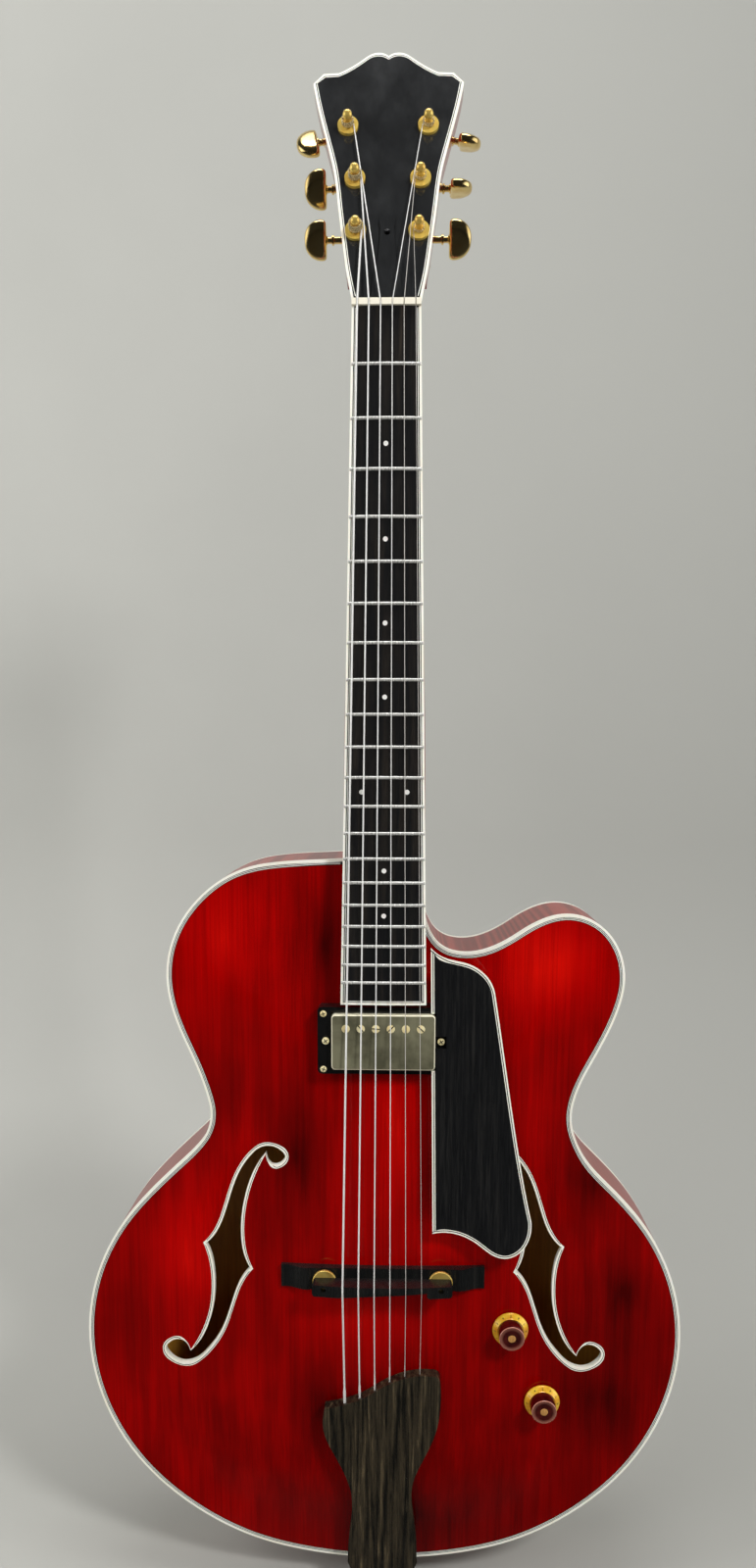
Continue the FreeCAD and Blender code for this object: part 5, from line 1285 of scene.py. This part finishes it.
@dataclass
class Pickup:
    """The pickup in its ring, with pole screws and height screws."""

    cover_top: float = 26.0
    ring_top: float = 20.2
    corner_x: float = -40.8
    corner_zs: tuple = (18.6, -20.0)
    corner_turns: tuple = (18.6, -20.0)
    pole_spread: float = 50.6
    pole_offset: float = 9.6
    pole_length: float = 22.0
    pole_turn: float = 20.0
    pole_turn_spread: float = 235.0
    shank_radius: float = 2.2
    shank_top: float = -0.5
    height_screw_x: float = 39.2
    height_screw_turn: float = 35.0
    spring_foot: float = 3.1
    spring_radius: float = 2.3
    spring_wire: float = 0.25
    spring_turns: float = 2.25

    pole_head = ScrewHead(radius=2.8, rise=0.4, sunk=1.2, slot=Slot.STRAIGHT, slot_width=0.9, slot_depth=0.9)
    corner_head = ScrewHead(radius=2.2, rise=0.8, slot_width=0.6)
    height_head = ScrewHead(radius=2.35, rise=0.8, slot_width=0.7, slot_depth=0.6)

    def screws(self, name: str, body: str, head: ScrewHead, places: list) -> None:
        """Add screw heads and strips of painted shade on the floors of their recesses.

        Args:
            name: what the pieces are called.
            body: the body that they ride on.
            head: the head's form.
            places: x, h, z and turn of each.
        """
        heads, slot_shades = Shell(), Shell()
        for x, h, z, turn in places:
            head.add_to(heads, Drawing.BODY, x, h, z, turn)
            head.darken(slot_shades, Drawing.BODY, x, h, z, turn)
        settle(heads.piece(name + "_heads", BRIGHT_GOLD.material()), body, "gold")
        # The recess floors are dark strips of painted shade
        settle(slot_shades.piece(name + "_slot_shade", BLACK_LINE.material()), body, "purfling")

    def add_screws(self) -> None:
        """Add pole screws, each turned its own way, the ring's corner screws in sight, and height screws."""
        pole_z = PICKUP_Z + self.pole_offset
        shares = np.arange(STRING_COUNT) / (STRING_COUNT - 1) - 0.5
        poles = [(self.pole_spread * share, self.cover_top, pole_z,
                  self.pole_turn + self.pole_turn_spread * share) for share in shares]
        self.screws("pole_screw", "pickup", self.pole_head, poles)
        self.pole_shanks(poles)
        corners = [(self.corner_x, self.ring_top, PICKUP_Z + z, turn)
                   for z, turn in zip(self.corner_zs, self.corner_turns)]
        self.screws("ring_screw", "guitar", self.corner_head, corners)
        for side, name in ((-1, "bass"), (1, "treble")):
            high = RIM_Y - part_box(name + "_height_screw")[0].y / MM
            place = (side * self.height_screw_x, high, PICKUP_Z, self.height_screw_turn)
            self.screws(name + "_height_screw", name + "_screw", self.height_head, [place])

    def pole_shanks(self, places: list) -> None:
        """Add the pole screws' shanks, from under the slots down through the base plate."""
        r, foot, top = self.shank_radius, -self.pole_length, self.shank_top
        shell = Shell()
        for x, h, z, _ in places:
            shell.spin(Drawing.BODY, (x, h, z), [(0.0, foot), (r, foot), (r, top), (0.0, top)], 20)
        settle(shell.piece("pole_screw_shanks", BRIGHT_GOLD.material()), "pickup", "gold", "pole_screws")

    def springs(self) -> None:
        """Wind the two springs between the base plate's legs and the ring.

        Each follows x = R cos t, z = R sin t, with h rising evenly from the leg to the ring.
        """
        foot = self.spring_foot + self.spring_wire
        top = RIM_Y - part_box("pickup_springs")[0].y / MM - self.spring_wire
        t = np.linspace(0.0, 2 * math.pi * self.spring_turns, 61)
        h = np.linspace(foot, top, len(t))
        shell = Shell()
        for side in (-1, 1):
            path = Drawing.BODY.place(side * self.height_screw_x + self.spring_radius * np.cos(t), h,
                                      PICKUP_Z + self.spring_radius * np.sin(t))
            shell.add(tube_grid(path, self.spring_wire, Drawing.BODY.front())[0], round_columns=True)
        piece = shell.piece("pickup_springs_wound", STEEL.material())
        ends = [Drawing.BODY.place(0.0, high, PICKUP_Z) for high in (foot, top)]
        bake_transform(piece)
        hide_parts("pickup_springs")
        LOG.info("piece %s between pickup and guitar", piece.name)

    def build(self) -> None:
        """Dress the solids and add screws and springs."""
        dress(AGED_GOLD, "pickup_cover")
        dress(BLACK_PLASTIC, "pickup_ring", "pickup_coils")
        dress(STEEL, "pickup_baseplate")
        dress(BRIGHT_GOLD, "bass_height_screw", "treble_height_screw")
        self.add_screws()
        self.springs()


# The pickguard

@dataclass
class Pickguard:
    """The floating pickguard with its layered edge."""

    low: float = 20.4
    thick: float = 3.0
    slope: float = 2.0
    hinge_z: float = -100.35
    line_inset: float = 1.3
    line_width: float = 0.6
    notch_half: float = 20.4
    head_share: float = 1.5

    # Three runs round the outside; the fourth edge is straight
    neck_end = [(31.6, -59.4), (45.1, -67.4), (58.2, -70.7), (68.2, -77.3), (75.0, -90.6)]
    outer = [(75.0, -90.6), (83.0, -141.4), (91.2, -193.2), (97.7, -228.3), (102.0, -247.8)]
    low_end = [(102.0, -247.8), (101.1, -260.2), (96.0, -269.5), (84.8, -275.1), (76.2, -272.9),
               (65.8, -265.3), (55.5, -259.4), (45.3, -256.9), (34.4, -257.8)]

    def on_face(self, run: np.ndarray) -> np.ndarray:
        """Return (x, z) pairs as points of the guard's sloped front, turned about its hinge line."""
        angle = math.radians(self.slope)
        along = run[:, 1] - self.hinge_z
        h = self.low + self.thick * math.cos(angle) - along * math.sin(angle)
        z = self.hinge_z + along * math.cos(angle) + self.thick * math.sin(angle)
        return Drawing.BODY.place(run[:, 0], h, z)

    def inner_run(self, low: float, high: float, steps: int) -> np.ndarray:
        """Return (x, z) pairs inside the straight edge by the strings, between two heights."""
        (foot_x, foot_z), (head_x, head_z) = self.low_end[-1], self.neck_end[0]
        z = np.linspace(low, high, steps)
        x = foot_x + (head_x - foot_x) * (z - foot_z) / (head_z - foot_z) + self.line_inset
        return np.stack([x, z], 1)

    def edge_line(self) -> None:
        """Lay a black line into the guard's white edge, left out where the pickup notch is."""
        inset = self.line_inset
        ends = [offset_run(spline_run(run), -inset) for run in (self.neck_end, self.outer, self.low_end)]
        outside = np.vstack([ends[0], ends[1][1:], ends[2][1:]])
        below = self.inner_run(self.low_end[-1][1] + inset, PICKUP_Z - self.notch_half, 12)
        above = self.inner_run(PICKUP_Z + self.notch_half, self.neck_end[0][1] - self.head_share * inset, 6)
        angle = math.radians(self.slope)
        up = np.array([0.0, -math.cos(angle), math.sin(angle)])
        runs = [(self.on_face(run), up) for run in (outside, below, above)]
        InlaidLine(self.line_width).lay("pickguard_line", BLACK_LINE, "purfling", *runs)

    def build(self) -> None:
        """Dress the solids and add the edge line."""
        dress(GUARD_EBONY, "pickguard")
        dress(IVORY, "pickguard_binding")
        dress(BLACK_PLASTIC, "pickguard_support")
        self.edge_line()


# Bridge, tailpiece and end pin

@dataclass
class Bridge:
    """The floating bridge with its wheels, and the tailpiece that takes the strings."""

    post_x: float = 40.4
    post_radius: float = 1.8
    base_top: float = 22.4
    wheel_low: float = 25.2
    wheel_thick: float = 2.6
    wheel_radius: float = 8.4
    wheel_bore_gap: float = 0.06
    wheel_bevel: float = 0.5
    wheel_edge: float = 0.35
    knurls: int = 50
    knurl_depth: float = 0.15
    thread_pitch: float = 0.8
    thread_depth: float = 0.25
    thread_step: float = 0.1
    post_sunk: float = 4.0
    post_high: float = 37.2

    def wheel(self, side: int, name: str, body: str) -> None:
        """Make a knurled wheel: a spun ring whose rim swells as 1 + cos(knurls * t)."""
        low, high, edge = self.wheel_low, self.wheel_low + self.wheel_thick, self.wheel_edge
        bore = self.post_radius + self.wheel_bore_gap
        face, rim = self.wheel_radius - self.wheel_bevel, self.wheel_radius - self.knurl_depth
        radii = np.array([bore, face, rim, rim, face, bore])
        heights = np.array([low, low, low + edge, high - edge, high, high])
        steps = 4 * self.knurls
        gx, gh, gz = turned_grid(radii, heights, steps)
        turn = np.arange(steps) * 2 * math.pi / steps
        depth = np.where(radii == rim, self.knurl_depth / self.wheel_radius, 0.0)
        swell = 1 + depth[:, None] * np.cos(self.knurls * turn)
        grid = Drawing.BODY.place(gx * swell + side * self.post_x, gh, gz * swell + BRIDGE_Z)
        shell = Shell().add(grid, round_rows=True, round_columns=True)
        settle(shell.piece(name + "_knurled", POST_GOLD.material()), body, "gold", name)

    def posts(self) -> None:
        """Make two threaded posts: r = R - depth * (1 - cos(2 pi h / pitch - t)) / 2."""
        shell = Shell()
        low, high = self.base_top - self.post_sunk, self.post_high
        h = np.concatenate([[low], np.arange(low, high, self.thread_step), [high, high]])
        steps = 24
        turn = np.arange(steps) * 2 * math.pi / steps
        wave = np.cos(2 * math.pi * h[:, None] / self.thread_pitch - turn)
        radius = self.post_radius - self.thread_depth * (1 - wave) / 2
        radius[[0, -1]] = 0.0
        for side in (-1, 1):
            x = radius * np.cos(turn) + side * self.post_x
            z = radius * np.sin(turn) + BRIDGE_Z
            shell.add(Drawing.BODY.place(x, h[:, None], z), round_columns=True)
        settle(shell.piece("bridge_threads", GOLD.material(), sharp=70.0), "guitar", "gold", "bridge_posts")

    def build(self) -> None:
        """Dress the solids, then make wheels and posts."""
        dress(BRIDGE_EBONY, "bridge_base", "bridge_saddle")
        dress(STREAKED_EBONY, "tailpiece")
        dress(BOARD_EBONY, "tail_saddle")
        dress(BLACK_PLASTIC, "tail_gut")
        dress(GOLD, "end_pin_jack")
        self.wheel(-1, "bass_thumbwheel", "bass_wheel")
        self.wheel(1, "treble_thumbwheel", "treble_wheel")
        self.posts()


# Controls

@dataclass
class Controls:
    """Two numbered knobs on the lower bout."""

    height: float = 14.5
    number_size: float = 2.6
    number_count: int = 10
    number_step: float = 30.0
    zero_angle: float = 240.0
    number_lift: float = 0.05
    places = [("volume", 90.5, -334.0), ("tone", 114.7, -391.0)]

    # Profiles as pairs of radius and height over the knob's foot
    cone_low = (12.3, 1.7)
    cone_high = (9.75, 4.0)
    skirt = [(0.0, 0.05), (12.3, 0.05), (12.6, 0.15), (12.7, 0.5), (12.65, 1.2), cone_low, (11.2, 2.7),
             (10.2, 3.55), cone_high, (9.5, 4.4), (0.0, 4.4)]
    top = [(0.0, 4.3), (9.5, 4.3), (9.45, 4.7), (9.2, 8.0), (8.9, 12.0), (8.85, 13.95), (8.7, 14.25),
           (8.45, 14.45), (8.25, 14.5), (8.05, 14.45), (7.95, 14.38), (0.0, 14.1)]
    shaft = [(0.0, 12.0), (2.7, 12.0), (2.7, 14.2), (2.5, 14.4), (2.1, 14.48), (0.0, 14.5)]

    def knob(self, name: str, x: float, z: float) -> None:
        """Make one knob: a spun skirt, a spun top with a shallow dish, and the shaft's end.

        Args:
            name: the knob's body, volume or tone.
            x: its place across.
            z: its place up the neck.
        """
        node = name + "_knob"
        foot = self.foot_of(node)
        layers = [("_skirt", self.skirt, 72, AMBER_SKIRT, 50.0, "amber"),
                  ("_top", self.top, 72, AMBER_TOP, 50.0, "amber"),
                  ("_shaft", self.shaft, 32, COPPER, 40.0, "gold")]
        for layer, profile, steps, finish, sharp, slot in layers:
            shell = Shell().spin(Drawing.BODY, (x, foot, z), profile, steps)
            settle(shell.piece(node + layer, finish.material(), sharp), name, slot, node)
        self.numbers(name, x, foot, z)

    def foot_of(self, node: str) -> float:
        """Return the height of a knob's foot in the body drawing, from its solid's front."""
        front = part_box(node)[0].y / MM
        return RIM_Y - front - self.height

    def flat_number(self, number: int) -> tuple:
        """Return the points and the faces of a number that lies flat about the origin."""
        curve = bpy.data.curves.new("number", "FONT")
        curve.body = str(number)
        curve.size = self.number_size
        curve.align_x = "CENTER"
        curve.align_y = "CENTER"
        words = bpy.data.objects.new("number", curve)
        bpy.context.scene.collection.objects.link(words)
        bpy.context.view_layer.update()
        flat = bpy.data.meshes.new_from_object(words.evaluated_get(bpy.context.evaluated_depsgraph_get()))
        bpy.data.objects.remove(words)
        return mesh_points(flat), [tuple(face.vertices) for face in flat.polygons]

    def numbers(self, name: str, x: float, foot: float, z: float) -> None:
        """Wrap the numbers 1 to 10 round the skirt's cone.

        A flat place (u, v) of a number goes to the angle t0 - u / r and the slope distance v.
        """
        points, faces, count = [], [], 0
        low, high = np.array(self.cone_low), np.array(self.cone_high)
        middle = (low + high) / 2
        slope = unit(high - low)
        lift_out, lift_up = self.number_lift * slope[1], -self.number_lift * slope[0]
        for number in range(1, self.number_count + 1):
            spots, corners = self.flat_number(number)
            out = middle[0] + spots[:, 1] * slope[0] + lift_out
            up = middle[1] + spots[:, 1] * slope[1] + lift_up
            turn = math.radians(self.zero_angle - self.number_step * number) - spots[:, 0] / middle[0]
            points.append(Drawing.BODY.place(x + out * np.cos(turn), foot + up, z + out * np.sin(turn)))
            faces += [tuple(count + corner for corner in face) for face in corners]
            count += len(spots)
        mesh = bpy.data.meshes.new(name + "_numbers")
        mesh.from_pydata(np.vstack(points).tolist(), [], faces)
        mesh.materials.append(BLACK_LINE.material())
        made = bpy.data.objects.new(name + "_numbers", mesh)
        bpy.context.scene.collection.objects.link(made)
        settle(made, name, "purfling")

    def build(self) -> None:
        """Dress the pots and make both knobs."""
        dress(STEEL, "control_pots")
        for name, x, z in self.places:
            self.knob(name, x, z)


# Strings

@dataclass
class Strings:
    """Six strings from the tailpiece over saddle and nut to three turns on each post."""

    nut_spread: float = 37.4
    saddle_spread: float = 54.0
    tail_spread: float = 53.2
    over_nut: float = 1.0
    saddle_rise: float = 3.6
    nut_length: float = 4.0
    hidden: float = 8.0
    bend: float = 5.0
    bend_steps: int = 4
    run_steps: int = 24
    turns: int = 3
    turn_steps: int = 36
    run_in: float = 6.0
    run_in_steps: int = 10
    washer_gap: float = 0.4
    turn_gap: float = 0.5
    post_gap: float = 0.3
    tail_top: float = 28.0
    tail_z: float = -364.0
    tail_slope: float = 4.0
    tail_entry: float = 3.0
    wrap_length: float = 13.0
    wrap_fade: float = 2.0
    wrap_swell: float = 0.45

    # Radius and wrap of each string, low string first, and the edge of the tailpiece that they leave
    radii = (0.66, 0.53, 0.41, 0.30, 0.22, 0.165)
    wrap_pitches = (0.42, 0.36, 0.30, 0.24, 0.0, 0.0)
    tail_edge = [(-40.8, -391.0), (-27.6, -388.0), (-13.7, -382.5), (0.2, -373.3), (10.6, -367.9),
                 (20.9, -364.7), (34.8, -364.0)]

    def across(self, spread: float, index: int) -> float:
        """Return a string's place across a spread, low string first."""
        return spread * (index / (STRING_COUNT - 1) - 0.5)

    def key_points(self, index: int) -> tuple:
        """Return the tail end, the saddle's crest and the nut's crest of a string, in metres."""
        radius = self.radii[index]
        tail_x = self.across(self.tail_spread, index)
        edges = np.array(self.tail_edge)
        edge = np.interp(tail_x, edges[:, 0], edges[:, 1])
        slope = math.tan(math.radians(self.tail_slope))
        leave_h = self.tail_top - (self.tail_z - edge) * slope - self.tail_entry
        leave = Drawing.BODY.place(tail_x, leave_h, edge)
        saddle_x = self.across(self.saddle_spread, index)
        saddle_h = BOARD_OVER_RIM - BRIDGE_Z * math.tan(math.radians(NECK_ANGLE)) + self.saddle_rise
        crest = saddle_h - board_drop(saddle_x)
        back = unit(leave - Drawing.BODY.place(saddle_x, crest, BRIDGE_Z))
        saddle = Drawing.BODY.place(saddle_x, crest + radius, BRIDGE_Z)
        nut_x = self.across(self.nut_spread, index)
        nut_h = self.over_nut - board_drop(nut_x) + radius
        nut = Drawing.NECK.place(nut_x, nut_h, 0.5 * self.nut_length)
        return leave + back * self.hidden * MM, saddle, nut

    def bent(self, before: np.ndarray, corner: np.ndarray, after: np.ndarray) -> np.ndarray:
        """Return the arc that rounds a corner, from the first leg to the second.

        With half the turn a, the arc's points are the two touching points mixed with the corner by the
        weights (1 - t)^2, 2 t (1 - t) and t^2, a parabola that follows so slight a turn closely.
        """
        back, ahead = unit(before - corner), unit(after - corner)
        half = (math.pi - math.acos(float(np.clip(back @ ahead, -1.0, 1.0)))) / 2
        cut = self.bend * MM * math.tan(half)
        t = np.linspace(0.0, 1.0, 2 * self.bend_steps + 1)[:, None]
        return ((corner + back * cut) * (1 - t) ** 2 + corner * 2 * t * (1 - t)
                + (corner + ahead * cut) * t ** 2)

    def post_path(self, index: int, nut: np.ndarray) -> tuple:
        """Return the run-in to a post and its turns.

        The turns follow x = c + R cos t, z = c + R sin t, with h rising by one pitch for each turn.
        """
        radius = self.radii[index]
        x, z = Headstock.posts[index]
        inner = -math.copysign(1.0, x)
        ring = Headstock.post_radius + self.post_gap + radius
        pitch = 2 * radius + self.turn_gap
        low = Headstock.washer_thick - HEAD_DROP + radius + self.washer_gap
        t = np.linspace(0.0, 2 * math.pi * self.turns, self.turn_steps * self.turns + 1)
        helix = Drawing.HEAD.place(x + inner * ring * np.cos(t), low + pitch * t / (2 * math.pi),
                                   z + ring * np.sin(t))
        reach = self.run_in * MM
        lead = unit(helix[0] - nut)
        lead_end = helix[0] - lead * reach
        way = unit(helix[1] - helix[0])
        s = np.linspace(0.0, 1.0, self.run_in_steps + 2)[1:-1, None]
        run_in = (lead_end * (2 * s ** 3 - 3 * s ** 2 + 1) + helix[0] * (3 * s ** 2 - 2 * s ** 3)
                  + lead * reach * (s ** 3 - 2 * s ** 2 + s) + way * reach * (s ** 3 - s ** 2))
        return lead_end, np.vstack([run_in, helix])

    def wire(self, index: int) -> StringWire:
        """Return a string's finish: wound with its own pitch, or plain."""
        pitch = self.wrap_pitches[index]
        return StringWire("wound string %d" % (index + 1), wrap_pitch_mm=pitch) if pitch else PLAIN_WIRE

    def tube(self, name: str, path: np.ndarray, radius: np.ndarray, finish: StringWire) -> bpy.types.Object:
        """Make a stretch of string as a round tube along a path, closed at both ends.

        Args:
            name: the piece's name.
            path: points in metres.
            radius: millimetres, one for all points or one each.
            finish: its finish.

        Returns:
            The object.
        """
        grid, place = tube_grid(path, radius, Drawing.HEAD.front())
        shell = Shell().add(grid, round_columns=True, map_at=place)
        piece = shell.piece(name, finish.material(), sharp=75.0)
        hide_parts("strings")
        LOG.info("piece %s", piece.name)
        return piece

    def tail_radius(self, index: int, path: np.ndarray) -> np.ndarray:
        """Return the radius along the stretch behind the saddle, thicker where the end is wrapped."""
        far = np.linalg.norm(path - path[0], axis=1) / MM
        lump = np.clip((self.hidden + self.wrap_length - far) / self.wrap_fade, 0.0, 1.0)
        return self.radii[index] * (1 + self.wrap_swell * lump)

    def string(self, index: int) -> None:
        """Make one string in four stretches: behind the saddle, over the board, past the nut, on its post."""
        radius, wire = self.radii[index], self.wire(index)
        name = "string_%d_" % (index + 1)
        tail, saddle, nut = self.key_points(index)
        lead_end, wound = self.post_path(index, nut)
        over_saddle = self.bent(tail, saddle, nut)
        over_nut = self.bent(saddle, nut, lead_end)
        half = self.bend_steps
        run = np.linspace(0.0, 1.0, self.run_steps)[:, None]
        path = np.vstack([tail + (over_saddle[0] - tail) * run, over_saddle[1:half + 1]])
        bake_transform(self.tube(name + "tail", path, self.tail_radius(index, path), wire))
        straight = over_saddle[-1] + (over_nut[0] - over_saddle[-1]) * run[1:]
        path = np.vstack([over_saddle[half:], straight, over_nut[1:half + 1]])
        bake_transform(self.tube(name + "speaking", path, radius, wire))
        path = np.vstack([over_nut[half:], lead_end[None], wound[:self.run_in_steps]])
        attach(self.tube(name + "head", path, radius, wire), "guitar")
        path = wound[self.run_in_steps - 1:]
        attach(self.tube(name + "wrapped", path, radius, WRAPPED_WIRE), "guitar")

    def build(self) -> None:
        """Make all six, low string first."""
        for index in range(STRING_COUNT):
            self.string(index)


# The studio

@dataclass
class Studio:
    """Camera, lamps, a plain sweep of paper and the room."""

    # The camera, in pixels, radians and millimetres of the body drawing
    focal_px: float = 1177.66
    image_long: float = 1600.0
    middle_y: float = 956.13
    pitch: float = 0.155571
    yaw: float = -0.023081
    roll: float = 0.002465
    eye: tuple = (13.793, 783.205, 67.524)
    sensor: float = 36.0
    clip_start: float = 0.01

    # The paper and the lamps, in metres
    aim: tuple = (0.0, 0.0, -0.4)
    cove: float = 0.5
    wall_y: float = 0.75
    wall_height: float = 4.5
    floor_front: float = -3.0
    floor_gap: float = 0.004
    half_sheet: float = 4.0

    # The room's brightness, plain and as gloss sees it
    dark: float = 0.02
    pale: float = 0.30
    gloss_dark: float = 0.01
    gloss_bright: float = 1.3

    # Each lamp's name, place, size, watts, and whether gloss shows it
    lamps = [("front left", (-1.0, -1.7, 0.8), (1.2, 1.2), 13.0, False),
             ("front right", (1.0, -1.4, 0.8), (0.35, 0.35), 24.0, False),
             ("side left", (-1.9, -0.5, 0.3), (0.8, 1.8), 18.0, False),
             ("side right", (1.9, -0.4, 0.2), (0.8, 1.8), 14.0, False),
             ("overhead", (0.0, -0.25, 1.9), (1.6, 0.6), 18.0, True)]

    def camera(self) -> None:
        """Set the camera as the photograph's was: axes from yaw, pitch and roll, lens shifted."""
        sin, cos = math.sin, math.cos
        right = np.array([cos(self.yaw), -sin(self.yaw), 0.0])
        level = np.array([sin(self.yaw), cos(self.yaw), 0.0])
        upright = np.array([0.0, 0.0, 1.0])
        ahead = level * cos(self.pitch) - upright * sin(self.pitch)
        down = -level * sin(self.pitch) - upright * cos(self.pitch)
        across = right * cos(self.roll) - down * sin(self.roll)
        below = right * sin(self.roll) + down * cos(self.roll)
        axes = Matrix([[across[i], -below[i], -ahead[i]] for i in range(3)]).to_4x4()
        x, h, z = self.eye
        data = bpy.data.cameras.new("view")
        data.lens = self.focal_px / self.image_long * self.sensor
        data.sensor_width = self.sensor
        data.shift_y = (self.middle_y - self.image_long / 2) / self.image_long
        data.clip_start = self.clip_start
        eye = bpy.data.objects.new("view", data)
        eye.matrix_world = Matrix.Translation(Drawing.BODY.place(x, h, z).tolist()) @ axes
        bpy.context.scene.collection.objects.link(eye)
        bpy.context.scene.camera = eye

    def lamp(self, name: str, place: tuple, size: tuple, watts: float, in_gloss: bool) -> None:
        """Add one soft rectangular lamp that faces the aim.

        Args:
            name: the lamp's name.
            place: where it stands, in metres.
            size: its width and height.
            watts: its power.
            in_gloss: whether gloss shows it.
        """
        data = bpy.data.lights.new(name, "AREA")
        data.shape = "RECTANGLE"
        data.size, data.size_y = size
        data.energy = watts
        made = bpy.data.objects.new(name, data)
        made.location = place
        made.rotation_euler = (Vector(self.aim) - Vector(place)).to_track_quat("-Z", "Y").to_euler()
        made.visible_glossy = in_gloss
        bpy.context.scene.collection.objects.link(made)

    def paper(self) -> None:
        """Add floor and wall as one sweep: a flat run, a quarter turn and an upright run."""
        floor = CAD_BOX[0][2] - self.floor_gap
        cove, wall = self.cove, self.wall_y
        turn = np.linspace(0.0, math.pi / 2, 12)
        y = np.concatenate([[self.floor_front], wall - cove + cove * np.sin(turn), [wall]])
        z = np.concatenate([[floor], floor + cove - cove * np.cos(turn), [floor + self.wall_height]])
        x = np.array([-self.half_sheet, self.half_sheet])
        grid = np.stack(np.broadcast_arrays(x[None], y[:, None], z[:, None]), -1)
        sheet = Shell().add(grid).piece("paper", PAPER.material())
        sheet.data.flip_normals()

    def build(self) -> None:
        """Set up all of it."""
        self.camera()
        self.paper()
        for lamp in self.lamps:
            self.lamp(*lamp)
        self.room()
        bpy.context.scene.view_settings.view_transform = "Standard"

    def room(self) -> None:
        """Set the room: pale behind and dark in front; gloss sees it dark but for the sides and overhead."""
        world = bpy.data.worlds.new("room")
        world.use_nodes = True
        nodes = Nodes(world.node_tree)
        coords = nodes.add("TexCoord", {}).outputs["Generated"]
        way = nodes.add("SeparateXYZ", {"Vector": coords}).outputs
        sideways = nodes.math("ABSOLUTE", way["X"])
        sides = nodes.span(sideways, self.gloss_dark, self.gloss_bright, 0.72, 0.9)
        overhead = nodes.span(way["Z"], self.gloss_dark, self.gloss_bright, 0.88, 0.96)
        in_gloss = nodes.math("ADD", sides, overhead)
        plain = nodes.span(way["Y"], self.dark, self.pale, -0.75, 0.1)
        glossy = nodes.add("LightPath", {}).outputs["Is Glossy Ray"]
        strength = nodes.add("Mix", {0: glossy, 2: plain, 3: in_gloss}).outputs[0]
        nodes.fill(world.node_tree.nodes["Background"], {"Strength": strength, "Color": (1.0, 1.0, 1.0, 1.0)})
        bpy.context.scene.world = world


def main() -> None:
    """Build everything in order."""
    logging.basicConfig(level=logging.INFO, format="%(message)s")
    Studio().build()
    for assembly in (Strings(), Body(), Neck(), Headstock(), Pickup(), Pickguard(), Bridge(), Controls()):
        assembly.build()
        LOG.info("built %s", type(assembly).__name__)


if __name__ == "__main__":
    main()
